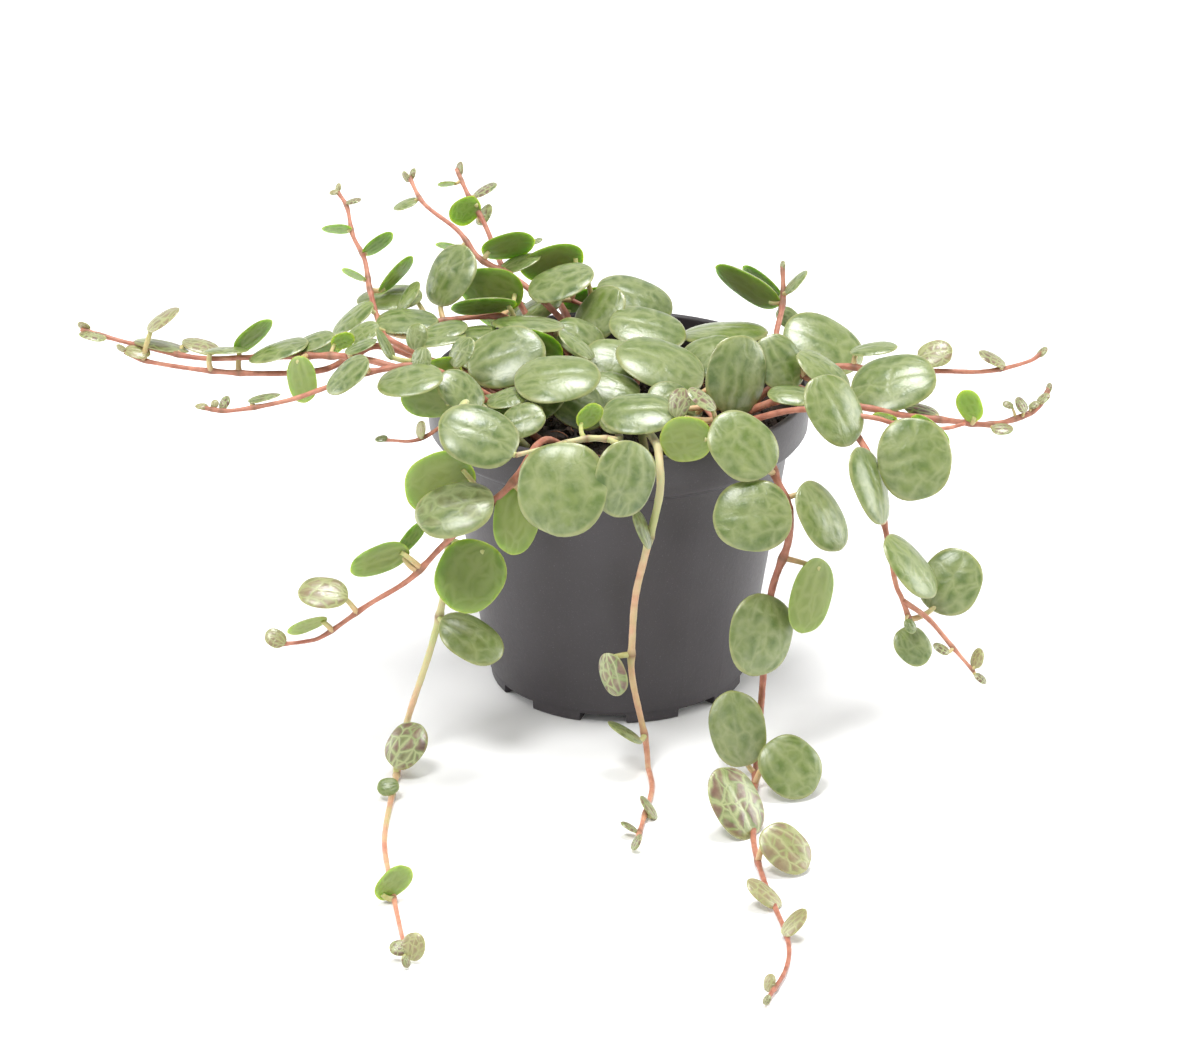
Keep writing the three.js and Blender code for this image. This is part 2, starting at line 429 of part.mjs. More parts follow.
// The petiole runs from the stem to the end of the blade that is nearer to the stem.
function petioleSolid(curve, frame, margin) {
  const ends = [-1, 1].map((sign) => frame.centre.clone()
    .addScaledVector(frame.along, sign * frame.length * PETIOLE_REACH)
    .addScaledVector(frame.normal, -frame.thickness * PETIOLE_DEPTH));
  const reach = (end) => nearestOnCurve(curve, end).distanceTo(end);
  const end = reach(ends[0]) <= reach(ends[1]) ? ends[0] : ends[1];
  const start = nearestOnCurve(curve, end);
  const length = start.distanceTo(end);
  const slim = frame.length * PETIOLE_SHARE + THINNEST_PETIOLE;
  const radius = Math.min(PETIOLE_RADIUS, slim) + margin;
  const rod = new THREE.CylinderGeometry(radius, radius, length + margin, PETIOLE_SIDES);
  const direction = end.clone().sub(start).normalize();
  rod.applyQuaternion(new THREE.Quaternion().setFromUnitVectors(
    new THREE.Vector3(0, 1, 0), direction));
  rod.translate(...start.clone().add(end).multiplyScalar(0.5).toArray());
  return solidOf(rod);
}

function growShoot(shoot) {
  const [name, radius, , , leaves] = shoot;
  const curve = stemCurve(shoot);
  const frames = leaves.filter((leaf) => leaf[3] >= BUD_LENGTH).map(bladeFrame);
  const wood = (margin) => frames.reduce(
    (solid, frame) => solid.add(petioleSolid(curve, frame, margin)),
    tubeSolid(curve, radius, margin));
  return { name, frames, core: wood(0), keepOut: wood(GAP) };
}

// ---- Materials ----
function plain(color, roughness) {
  return new THREE.MeshStandardMaterial({ color, roughness, metalness: 0 });
}

const potPlastic = plain(0x55504f, 0.55);
const soilMix = plain(0x2a1f18, 0.95);
const stemSkin = plain(0xb98a63, 0.5);
const leafSkin = plain(0x6f9a3c, 0.35);

// ---- Assembly ----
const plant = new THREE.Group();

function addNode(name, solid, material) {
  const mesh = new THREE.Mesh(geometryOf(solid), material);
  mesh.name = name;
  plant.add(mesh);
}

const potKeepOut = solidOf(lathe(potProfile(GAP)));
const soilKeepOut = soilSolid(GAP);
addNode("pot", buildPot(), potPlastic);
addNode("soil", soilSolid(0), soilMix);

const shoots = [...SHOOTS, BRANCH].map(growShoot);
const taken = [];

shoots.forEach((shoot, index) => {
  const earlier = shoots.slice(0, index).map((other) => other.keepOut);
  shoot.core = largestPart(cutAway(shoot.core, [potKeepOut, soilKeepOut, ...earlier]));
});

// Large blades are nodes of their own, clear of every stem and of each other.
shoots.forEach((shoot) => {
  const large = shoot.frames.filter((frame) => frame.length >= OWN_NODE_LENGTH);
  large.forEach((frame, index) => {
    const avoid = [potKeepOut, soilKeepOut, ...shoots.map((other) => other.keepOut), ...taken];
    addNode(`leaf_${shoot.name}_${index + 1}`,
      largestPart(cutAway(bladeSolid(frame, 0), avoid)), leafSkin);
    taken.push(bladeSolid(frame, GAP));
  });
});

// Small blades are one body with their own stem, clear of everything else.
shoots.forEach((shoot) => {
  const small = shoot.frames.filter((frame) => frame.length < OWN_NODE_LENGTH);
  const others = [potKeepOut, soilKeepOut,
    ...shoots.filter((other) => other !== shoot).map((other) => other.keepOut), ...taken];
  small.forEach((frame) => {
    shoot.core = shoot.core.add(largestPart(cutAway(bladeSolid(frame, 0), others)));
    taken.push(bladeSolid(frame, GAP));
  });
  addNode(`stem_${shoot.name}`, largestPart(shoot.core), stemSkin);
});

export default plant;
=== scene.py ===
"""A string of turtles in its nursery pot: every leaf blade as its own fine mesh, and each stem with its
petioles as one fine mesh.

Metres, in the CAD frame: +Z up, the origin under the middle of the pot, -Y to the front.
"""

import math
import random

import bpy
from mathutils import Matrix, Vector


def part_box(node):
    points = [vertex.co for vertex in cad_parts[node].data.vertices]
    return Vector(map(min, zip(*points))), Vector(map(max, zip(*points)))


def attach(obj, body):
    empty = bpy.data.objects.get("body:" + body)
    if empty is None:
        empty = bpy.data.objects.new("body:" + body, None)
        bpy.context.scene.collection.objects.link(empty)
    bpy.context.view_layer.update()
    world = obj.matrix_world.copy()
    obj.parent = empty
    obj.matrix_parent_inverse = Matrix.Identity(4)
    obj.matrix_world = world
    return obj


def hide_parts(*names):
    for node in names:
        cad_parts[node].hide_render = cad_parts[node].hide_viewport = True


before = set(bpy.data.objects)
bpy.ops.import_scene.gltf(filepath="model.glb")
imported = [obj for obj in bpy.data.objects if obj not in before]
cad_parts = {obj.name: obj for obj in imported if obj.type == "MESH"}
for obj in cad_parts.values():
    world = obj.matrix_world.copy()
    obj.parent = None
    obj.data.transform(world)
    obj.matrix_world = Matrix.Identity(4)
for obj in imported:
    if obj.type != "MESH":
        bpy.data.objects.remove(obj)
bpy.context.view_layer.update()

MM = 0.001
POT_LOW, POT_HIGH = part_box("pot")
SOIL_LOW, SOIL_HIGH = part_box("soil")

# ---- Driving sizes, in millimetres, as in the CAD ----
RIM_RADIUS = (POT_HIGH[0] - POT_LOW[0]) / 2 / MM
POT_HEIGHT = POT_HIGH[2] / MM
COLLAR_HEIGHT = 8.7
COLLAR_STEP = 2.6
BODY_TOP_RADIUS = 26.8
BASE_RADIUS = 20.5
WALL = 1.1
POT_FLOOR = 3
CHANNELS = 8
CHANNEL_WIDTH = 7.4
CHANNEL_DEPTH = 1.5
CHANNEL_START = 8
FIRST_CHANNEL = math.radians(-97)
DRAIN_RADIUS = 1.5
DRAIN_DISTANCE = 14
SOIL_TOP = SOIL_HIGH[2] / MM
GAP = 0.32
LIGHT_ELEVATION = math.radians(24.5)
BLADE_THICKNESS = 0.11
THINNEST_BLADE = 0.5
OWN_NODE_LENGTH = 11
FLOOR_CLEARANCE = 0.02

# ---- How finely the plant is drawn ----
CURVE_SAMPLES = 600
STEM_STEP = 0.55
STEM_SIDES = 12
PETIOLE_STEPS = 8
PETIOLE_SIDES = 8
FINE_BLADE_LENGTH = 4.5
FINE_BLADE = (13, 44)
SMALL_BLADE = (8, 26)

# ---- The plant's own proportions ----
STEM_TAPER = 0.5
STEM_FILL = 0.88
KNOT_SWELL = 0.36
KNOT_REACH = 0.95
KNOT_MARK = 0.5
PETIOLE_SEAT = 0.36
CREST_SHARE = 0.62
BELLY_SHARE = 0.36

# ---- The shoots, the same as in the CAD ----
# Each row: name, stem radius, root [x, y] on the soil, route, leaves.
# A route point [right, up, toward] is measured from the middle of the rim, along the light:
# right is +X, toward is the way to the light, up is square to both.
# A route point with two numbers, [x, y], lies on the surface under the pot.
# A leaf: [right, up, toward, length, width, turn, roll, youth]. Turn is the long axis, in
# degrees up from the right. Roll turns the upper side away from the light: 90 is edge on,
# and past 90 the light falls on the underside. Youth is 0 on an old green leaf, 1 on a bud.
SHOOTS = [
  ["left_upper", 0.7, [-13, -9], [
    [-23, -1, 13], [-33, 1.5, 14], [-42, 3.5, 12], [-56, 3.5, 8], [-65, 3.5, 6], [-74.5, 5.5, 4],
    [-83.5, 8, 3]], [
    [-83, 8.5, 3, 2.2, 1.8, 160, 50, 0.9], [-81.5, 7, 4, 4.4, 3.4, -10, 62, 0.6],
    [-71, 5.5, 3, 8.8, 6, -11, 75, 0.5], [-65, 5.5, 2, 6, 4.8, -15, 60, 0.85],
    [-52.5, 4.5, 9, 9.7, 7.5, 18, 67, 0.35], [-47, 6, 8, 6.6, 5.5, 20, 60, 0.3],
    [-45.5, 5, 6, 5.7, 4.6, 10, 118, 0.1], [-42.5, 6, 10, 3.8, 3.2, 20, 140, 0],
    [-48.5, 0, 14, 7.3, 6.2, -80, 140, 0.3], [-39.5, 5, 14, 5.3, 4.2, 22, 66, 0.2]]],
  ["left_middle", 0.7, [-15, -2], [
    [-35, 5, 3], [-41.5, 3.5, 4], [-46, 1.5, 8], [-54.5, 1, 8], [-63.5, 1.5, 7], [-73, 3, 5],
    [-76.5, 4.5, 5]], [
    [-74.5, 4.5, 5, 4.1, 3.3, -10, 48, 0.9], [-77, 5, 5, 1.9, 1.5, 150, 50, 0.9],
    [-70.5, 9.5, 6, 6.1, 4.8, 35, 62, 0.85], [-56.5, 7, 7, 7.4, 5.8, 40, 115, 0.4],
    [-60.5, 4.5, 9, 6.9, 5, 2, 78, 0.4]]],
  ["left_lower", 0.65, [-12, -14], [
    [-27.5, 1, 20], [-37, 1, 21], [-44.5, -1.5, 20], [-50.5, -3.5, 20], [-59, -5, 20],
    [-63.5, -4.5, 19]], [
    [-63.5, -4.3, 19, 2, 1.6, 0, 55, 0.9], [-61.5, -4, 19, 1.5, 1.3, 60, 20, 0.9],
    [-60, -3.8, 19, 2.4, 2, 60, 40, 0.7], [-54, -3, 19, 5.1, 3.6, 12, 72, 0.5],
    [-41, 0.3, 24, 8, 6.8, 42, 53, 0.3]]],
  ["left_upright", 0.65, [-17, 3], [
    [-34, 5.5, 6], [-37, 8.5, 0], [-39, 14.5, -6], [-40, 19.5, -9], [-42, 23.5, -12],
    [-43, 28, -14], [-44.5, 30.5, -15]], [
    [-45, 30.5, -15, 1.8, 1.4, 10, 50, 0.9], [-44.5, 31.3, -16, 1.5, 1.2, 80, 40, 0.9],
    [-42, 29, -14, 2.6, 2, 15, 62, 0.7], [-44.5, 24.5, -12, 4.8, 3.8, 0, 110, 0.2],
    [-38, 22, -10, 5.8, 4.6, 35, 115, 0.2], [-41.5, 17, -7, 4.3, 3.4, -25, 108, 0.2],
    [-35, 17, -7, 7.7, 6, 47, 106, 0.2]]],
  ["left_short", 0.5, [-19, -8], [
    [-22.5, -1.5, 15], [-26, -6.5, 21.5], [-30.5, -9.5, 23.5], [-35.5, -9.5, 22]], [
    [-30, -8, 24, 2.8, 2.3, 85, 48, 0.95], [-36, -9.3, 22, 2, 1.6, 10, 50, 0.5]]],
  ["back_left", 0.65, [-2, 8], [
    [-8, 9, -12], [-13.5, 14.5, -13], [-17.5, 17.5, -14], [-22, 20, -15], [-25.5, 24.5, -17],
    [-31, 29, -20], [-33.5, 33.5, -23]], [
    [-34, 33.5, -23, 2, 1.6, 120, 50, 0.8], [-33, 34, -23.5, 2, 1.6, 75, 50, 0.8],
    [-34, 29, -21, 4.2, 3.4, 22, 60, 0.4], [-27, 22, -16, 4.2, 3, -10, 108, 0.4],
    [-17.5, 22, -15, 8.7, 7.4, 12, 120, 0.1], [-15.5, 19.5, -16, 6.8, 5.4, 20, 62, 0.2],
    [-13, 23, -20, 2, 1.6, 25, 60, 0.4]]],
  ["back_upright", 0.65, [-9, 14], [
    [-16, 13.5, -16], [-19, 20, -19], [-21, 25, -21], [-22.5, 28, -23], [-24, 30.5, -24],
    [-26, 35, -26]], [
    [-25.5, 35, -26, 2.4, 2, 85, 50, 0.8], [-27.5, 32.5, -25, 3.1, 2.4, 5, 105, 0.6],
    [-21.5, 31.5, -25, 4.5, 3.6, 30, 63, 0.7], [-24.5, 28, -22, 5.5, 4.8, 35, 148, 0.1],
    [-21.5, 27.5, -24.5, 3.9, 3.3, 60, 50, 0.5]]],
  ["right_upright", 0.7, [17, 4], [
    [24, 5, -6], [25, 8.5, -9], [26, 13, -11], [26, 18.5, -12]], [
    [26, 18.7, -12, 1.6, 1.3, 85, 50, 0.8], [20.5, 15.5, -12.5, 11.8, 9, -32, 112, 0.1],
    [23, 16, -16, 8.4, 6.4, -42, 112, 0.1], [28, 16, -10, 5, 4, 47, 68, 0.2],
    [27, 10.5, -14, 4.4, 3.8, -40, 30, 0.1], [25, 6.5, -1, 2.4, 2, -30, 130, 0]]],
  ["right_upper", 0.65, [16, -3], [
    [32, 2, 3], [42.5, 1, 5], [49, 1.5, 4], [57, 1.5, 3], [63.5, 3, 1], [66, 4.5, 0]], [
    [66, 4.6, 0, 2.1, 1.7, 45, 50, 0.8], [58, 3.5, 3, 4.7, 3.8, -28, 60, 0.8],
    [49, 4.2, 5, 5.5, 4.9, 15, 30, 0.85], [39.5, 5, 4, 7.5, 5.6, 8, 68, 0.2],
    [42, -0.5, 14, 13.3, 11.4, 15, 40, 0.05]]],
  ["right_middle", 0.75, [14, -10], [
    [26, -3, 14.5], [37.5, -4.5, 18], [42.5, -5.5, 17], [51, -6.5, 16], [56.5, -7, 15],
    [61, -6, 14], [64, -4.5, 13], [66, -1.5, 12]], [
    [66, -1.3, 12, 1.6, 1.3, 80, 50, 0.8], [65, -3, 13, 2.4, 2, 40, 50, 0.8],
    [63.5, -4, 14, 1.8, 1.5, 30, 45, 0.8], [61.5, -4, 15, 2.7, 2.3, -60, 40, 0.7],
    [59.5, -4, 15, 1.8, 1.5, -20, 40, 0.8], [58.5, -7.7, 16, 3.4, 2.8, 0, 48, 0.8],
    [53.5, -4.2, 17, 5.2, 4.4, -65, 146, 0.2], [46.5, -4.8, 12, 5.7, 4.4, -15, 60, 0.7]]],
  ["right_lower", 0.65, [10, -15], [
    [26, -5, 20.5], [37.5, -6, 23], [41.5, -7, 23], [45.5, -7.7, 22], [49.5, -7.7, 21],
    [52.5, -7, 20]], [
    [47, -8, 26, 7.1, 5.4, -38, 113, 0.1], [40.5, -6, 19, 4, 3.2, -15, 112, 0.6]]],
  ["right_drop", 0.75, [18, -7], [
    [24, -1, 5], [29.5, -2, 8], [34, -5.5, 16], [36.5, -9.5, 22], [38, -13, 25], [40, -23, 28],
    [41.5, -31, 28], [42.5, -33.5, 28], [44.5, -39, 27]], [
    [44, -12.5, 33, 11.2, 12.6, 5, 4, 0.05], [37.5, -16.5, 34, 12.1, 9, -72, 54, 0.1],
    [43.5, -28.5, 33, 11.5, 9, -52, 55, 0.1], [50, -31, 25, 10.4, 9.4, 60, 10, 0.15],
    [44, -40.5, 30, 6.4, 5.6, -50, 20, 0.2], [43.5, -37.5, 32, 2.4, 2, -60, 30, 0.3]]],
  ["front_right", 0.7, [9, -19], [
    [17, -7, 17], [21, -8, 21.5], [22.5, -11.5, 25], [23.5, -15, 27], [25.5, -20, 27],
    [25.5, -25, 24.5], [23, -33, 21.5], [22, -46, 15.5], [21.5, -54.5, 11.5], [21, -37],
    [20.5, -45], [20, -61], [21.5, -75], [24, -90], [23.5, -99], [20.5, -108]], [
    [18.5, -10.5, 31, 11.6, 10.2, -45, 22, 0], [20, -21, 31.5, 11.9, 11, 0, 8, 0],
    [30.5, -21, 27, 11.6, 9.4, -62, 45, 0.05], [29, -33, 22.5, 11.7, 9.4, 75, 134, 0.1],
    [21.5, -39, 22.5, 12.6, 10.8, 80, -25, 0.05], [18, -53.5, 16, 11.8, 9.8, -80, -28, 0.25],
    [26, -59, 21.5, 10.2, 9.4, -45, 18, 0.3], [17.5, -64, 32, 11.5, 9.2, -62, 38, 0.65],
    [24.5, -70, 43, 8.7, 7.2, -42, 30, 0.85], [21, -76, 52.5, 6.2, 4.4, -38, 55, 0.9],
    [25, -79.5, 61.5, 5, 4, 48, 58, 0.9], [21, -87, 74.5, 2.6, 2.1, 75, 40, 0.95],
    [20.5, -89, 79, 1.6, 1.3, 60, 40, 0.6]]],
  ["front_middle", 0.75, [4, -20], [
    [3.5, -7.5, 19], [5.5, -10, 26], [6, -13, 30.5], [6, -18, 29.5], [4, -26.5, 26],
    [2.5, -33, 23], [2, -39.5, 20.5], [2, -45.5, 17.5], [4, -55, 13.5], [4.5, -37], [5, -43.5], [4, -51],
    [2.5, -61]], [
    [3.5, -23, 29.5, 6.4, 5, -70, 68, 0.4],
    [-1, -45, 20.5, 6.8, 5.4, -72, -42, 0.65], [1, -54, 16, 6.2, 4.6, -32, 75, 0.4],
    [4.5, -65, 27, 4.3, 3, -55, 66, 0.6], [1.5, -67.5, 32.5, 3, 2.2, -30, 70, 0.6],
    [2.5, -69.5, 37, 2.7, 2.1, 60, 58, 0.6]]],
  ["front_left", 0.7, [-14, -17], [
    [-21.5, -4, 19], [-24, -5, 24], [-24.5, -10, 27], [-25.5, -17.5, 26], [-26, -27, 21.5],
    [-27, -34.5, 18], [-29, -42, 15], [-32.5, -52.5, 11.5], [-33.5, -34], [-34.5, -46.5],
    [-35, -60.5], [-33.5, -74], [-31.5, -88.5], [-30.5, -95]], [
    [-22.5, -30, 25, 11.3, 10.6, 60, 172, 0.2], [-22.5, -39.5, 20, 10.8, 8.8, -32, 43, 0.35],
    [-32.5, -56, 16, 7.7, 6.6, 55, 27, 0.6], [-35, -62, 22, 3.4, 2.9, 10, 20, 0.1],
    [-33, -74.5, 51.5, 6.5, 5.4, 42, 135, 0.5], [-29.5, -82.5, 67.5, 4.1, 3.6, 80, 15, 0.95],
    [-31.5, -82.7, 67, 2.9, 2.5, 0, 25, 0.8], [-30.5, -84.5, 69, 1.9, 1.5, -70, 40, 0.6]]],
  ["left_front", 0.65, [-7, -19], [
    [-10.5, -9.5, 22.5], [-12.5, -10.5, 26.5], [-14, -13, 30], [-16, -16, 31],
    [-18.5, -18.5, 31], [-26, -25, 29], [-31.5, -30.5, 27.5], [-38, -34.5, 25.5],
    [-44.5, -39, 23.5], [-47.5, -40, 22.5],
    [-52, -40.5, 21.5]], [
    [-24.5, -20, 34.5, 12.1, 9.8, 15, 35, 0.4], [-27, -16, 28.5, 11, 9.6, 30, 160, 0.1],
    [-15.5, -21.5, 29, 10.6, 8.8, 80, 143, 0.05], [-36, -27.5, 29, 9.4, 7.4, 22, 124, 0.4],
    [-31.5, -24.5, 27.5, 6.4, 5, 50, 114, 0.3], [-44.5, -32.5, 27, 7.6, 6.2, -5, 40, 0.85],
    [-47, -37.5, 25.5, 6.4, 4.8, 20, 112, 0.5], [-52, -39.5, 22.5, 3.4, 3, -30, 22, 0.85]]],
  ["front_creeper", 0.7, [0, -12], [
    [0, -9.5, 22], [-1.5, -9.5, 31], [-5, -9.5, 33], [-9.5, -10.5, 33], [-13.5, -11.5, 34],
    [-15.5, -12, 34.5]], [
    [-8.5, -17, 37, 14.1, 13.7, 84, 8, 0.15], [-21, -9, 34.5, 12.4, 10.6, -20, 30, 0.2],
    [0.8, -15.5, 36, 11.6, 10, 76, -26, 0.1], [-4.5, -6, 29, 4.6, 3.9, 40, 142, 0.1]]],
  ["crown_left", 0.7, [-6, 3], [
    [-9, 6.5, -3], [-15.5, 9, -6], [-19, 10.5, -8], [-26.5, 10, -8], [-31.5, 9, -6],
    [-35, 7.5, -3]], [
    [-26.5, 17, -9, 10.5, 8.8, 62, 36, 0.1], [-20, 15, -13, 10.3, 8.6, -10, 142, 0],
    [-21, 12, -4, 10.4, 8, 5, 105, 0], [-33, 9.5, 0, 9.8, 7.8, 2, 58, 0],
    [-27, 8, 3, 7.2, 5.8, 10, 60, 0], [-14, 9, -1, 11.4, 9, -3, 73, 0.05],
    [-23, 7.5, 0, 8.2, 6.6, 8, 68, 0.1], [-36, 13.5, -9, 10.5, 8.4, 5, 60, 0],
    [-33, 13.5, -5, 5.7, 4.6, 55, 60, 0.1], [-41.5, 10, -2, 7.9, 6.2, 38, 62, 0.15],
    [-39.5, 7.5, 5, 5.3, 4.4, 25, 45, 0.15]]],
  ["crown_front", 0.7, [-11, -4], [
    [-10.5, -3, 6], [-15, -1.5, 7], [-21.5, 0.5, 6], [-26.5, 2.5, 6], [-30, 3.5, 6]], [
    [-31, 6.5, 13, 4.2, 3.6, 80, 20, 0.35], [-24, 4, 17, 5.2, 4.4, 60, 38, 0.35],
    [-30, 2.5, 22, 4.3, 3.7, 80, 32, 0.35], [-31.5, -0.5, 25, 10.1, 8.2, 10, 53, 0.05],
    [-24, -2, 21, 8, 6.8, -40, 35, 0.05], [-29, -3.5, 20, 8.3, 6.8, -5, 136, 0],
    [-17.5, 3.5, 9, 12.5, 10.6, 20, 28, 0.1], [-9.5, 0, 18, 13.3, 10.8, 5, 46, 0.05],
    [-17, -3, 18, 6.5, 5.2, 15, 54, 0.05], [-14.5, -6.5, 22, 6.8, 5.8, 20, 26, 0.05],
    [-13, 5, 2, 9.4, 7.8, -20, 137, 0], [-6.5, 5.5, 6, 6.9, 5.2, -38, 65, 0],
    [-28, 6.5, 4, 8.7, 6.8, 10, 70, 0.1], [-27, 1.5, 15, 6.2, 5.2, 10, 133, 0],
    [-6, -4, 13, 9.5, 8.2, -25, 30, 0], [-20.5, -5.5, 17, 8.4, 7.2, 30, 40, 0],
    [-12, -3, 13, 8.6, 7.6, 40, 34, 0], [-22, 4, 5, 8.2, 7, -20, 42, 0],
    [-36, 5.5, 9, 5.6, 4.4, -62, 70, 0]]],
  ["crown_back", 0.7, [2, 2], [
    [3.5, 4, -5], [0.5, 8, -11], [-3.5, 11.5, -15], [-7.5, 13.5, -17]], [
    [-10.5, 19.5, -18, 10.4, 8.6, 14, 128, 0], [-9, 16, -9, 10.9, 8.8, 20, 50, 0.1],
    [2.5, 13.5, -14, 12.6, 10.4, -20, 44, 0], [-3, 11, -9, 9.9, 8.4, 55, 36, 0.05],
    [4.5, 8.5, -5, 12.4, 10.2, -12, 48, 0], [-6, 7, -4, 8.6, 7.6, -30, 40, 0],
    [-13, 12, -16, 9, 7.8, 30, 60, 0], [16.5, 8, -9, 14, 10.6, 3, 70, 0.1]]],
  ["crown_right", 0.7, [8, -6], [
    [8, -2, 3], [10, -2, 6], [12, -3, 12], [14.5, -6.5, 22]], [
    [6.5, 2.5, 7, 14.4, 11.6, -20, 48, 0.05], [-0.5, 3.5, 2, 9.4, 7.8, -15, 36, 0],
    [18, 0.5, 14, 12.4, 10.6, 80, -28, 0.05], [24.8, 2.6, 10, 9.4, 8, -60, 22, 0.1],
    [-1, -1.5, 10, 8.7, 7.2, -10, 38, 0], [3, -5.5, 25, 11.6, 9.4, 3, 47, 0.05],
    [14, 4, 2, 9.6, 8.4, 20, 42, 0], [8.5, -4, 15, 9, 7.8, -30, 34, 0],
    [1, -5.5, 18, 8.4, 7.4, 20, 40, 0], [9, -4, 27, 4.6, 4, 80, 33, 0.8],
    [12.5, -3.5, 28, 5.2, 4, -38, 55, 0.7], [10, -9.5, 30, 7.9, 7.2, 0, 162, 0]]],
  ["crown_edge", 0.7, [13, -2], [
    [20, 1.5, 4], [27, 1, 8], [30, -0.5, 12]], [
    [32, 6, -4, 13.4, 11.4, -25, 38, 0], [31.5, 1.2, 11, 10, 7.6, -38, 54, 0.05],
    [32.5, -5, 25, 11.6, 9.8, -62, 33, 0], [26.5, -2.5, 16, 7.6, 5.6, -5, 56, 0]]],
  ["rear_left", 0.7, [-5, 17], [
    [-9, 12.5, -21], [-12, 15, -28], [-14, 9.5, -34], [-15, -1, -40], [-17, -13.5, -47],
    [-18, -21, -50]], [
    [-4, 13, -27, 10.5, 9, 10, 131, 0], [-18, 12, -28, 10.8, 9.2, -15, 125, 0.05],
    [-9, 4, -40, 9.8, 8.6, 30, 140, 0.1], [-20, -2, -42, 9, 8, -30, 138, 0.2],
    [-12, -12, -49, 7.6, 6.6, 50, 150, 0.5], [-22, -17, -49, 5.8, 5, -20, 140, 0.8],
    [-17, -24, -53, 4, 3.4, 80, 140, 0.9]]],
  ["rear_right", 0.7, [4, 14], [
    [1, 11.5, -20], [2, 13.5, -28], [5, 7, -34], [10, -1, -39], [15, -8, -43], [18, -14, -46]], [
    [0, 11, -29, 10, 8.6, 15, 128, 0], [9, 3.5, -37, 11.2, 9.6, -15, 130, 0.05],
    [4, -2, -42, 9.4, 8, 25, 140, 0.1], [15, -3, -42, 8.8, 7.6, -30, 138, 0.2],
    [12, -11, -47, 8, 7, 40, 142, 0.4], [20, -11, -45, 6.4, 5.4, -40, 135, 0.6],
    [18, -17, -49, 4.2, 3.6, 70, 140, 0.9]]],
]

BRANCH = ["right_drop_branch", 0.5, None, [
  [42.7, -33.8, 28], [46.5, -36.5, 27], [50, -40.5, 26], [53.5, -44.5, 25]], [
  [54, -42.5, 25, 3.2, 2.7, 75, 48, 0.9], [54.5, -45.5, 25, 2.3, 1.8, -38, 50, 0.7],
  [48.5, -41, 27, 2.8, 2.2, -30, 50, 0.6]]]

# How red each shoot is: 0 is pale cream green, 1 is red brown. Two redden toward their tips.
REDNESS = {"front_middle": 0.05, "front_left": 0.0, "front_creeper": 0.15, "crown_front": 0.4,
           "front_right": 0.85, "right_drop": 0.75, "right_drop_branch": 0.6}
USUAL_REDNESS = 0.78
TIP_REDNESS = {"front_middle": 0.5, "front_left": 0.5}


# ---- Camera ----
CAMERA_DISTANCE = 0.8
CAMERA_LENS = 152.0
CAMERA_TARGET = Vector((-0.0029, 0, 0.024))


def build_camera():
    """From the front, looking down along the light."""
    back = Vector((0, -math.cos(LIGHT_ELEVATION), math.sin(LIGHT_ELEVATION)))
    data = bpy.data.cameras.new("camera")
    data.lens = CAMERA_LENS
    data.sensor_width = 36
    data.clip_start = 0.01
    data.clip_end = 20
    camera = bpy.data.objects.new("camera", data)
    bpy.context.scene.collection.objects.link(camera)
    camera.location = CAMERA_TARGET + back * CAMERA_DISTANCE
    camera.rotation_euler = back.to_track_quat("Z", "Y").to_euler()
    bpy.context.scene.camera = camera


# ---- Small node-writing helper: sums on shader values read as plain arithmetic ----
class Value:
    """A shader value that can be added, multiplied and compared as in plain Python."""

    def __init__(self, tree, source):
        self.tree = tree
        self.source = source

    def _math(self, operation, *others, clamp=False):
        node = self.tree.nodes.new("ShaderNodeMath")
        node.operation = operation
        node.use_clamp = clamp
        for index, item in enumerate((self,) + others):
            if isinstance(item, Value):
                self.tree.links.new(item.source, node.inputs[index])
            else:
                node.inputs[index].default_value = item
        return Value(self.tree, node.outputs[0])

    def __add__(self, other):
        return self._math("ADD", other)

    def __sub__(self, other):
        return self._math("SUBTRACT", other)

    def __mul__(self, other):
        return self._math("MULTIPLY", other)

    def __truediv__(self, other):
        return self._math("DIVIDE", other)

    def flipped(self):
        return (self * -1.0) + 1.0

    def size(self):
        return self._math("ABSOLUTE")

    def larger(self, other):
        return self._math("MAXIMUM", other)

    def smaller(self, other):
        return self._math("MINIMUM", other)

    def clamped(self):
        return self._math("ADD", 0.0, clamp=True)

    def smooth(self, low, high):
        node = self.tree.nodes.new("ShaderNodeMapRange")
        node.interpolation_type = "SMOOTHSTEP"
        self.tree.links.new(self.source, node.inputs["Value"])
        node.inputs["From Min"].default_value = low
        node.inputs["From Max"].default_value = high
        return Value(self.tree, node.outputs["Result"])


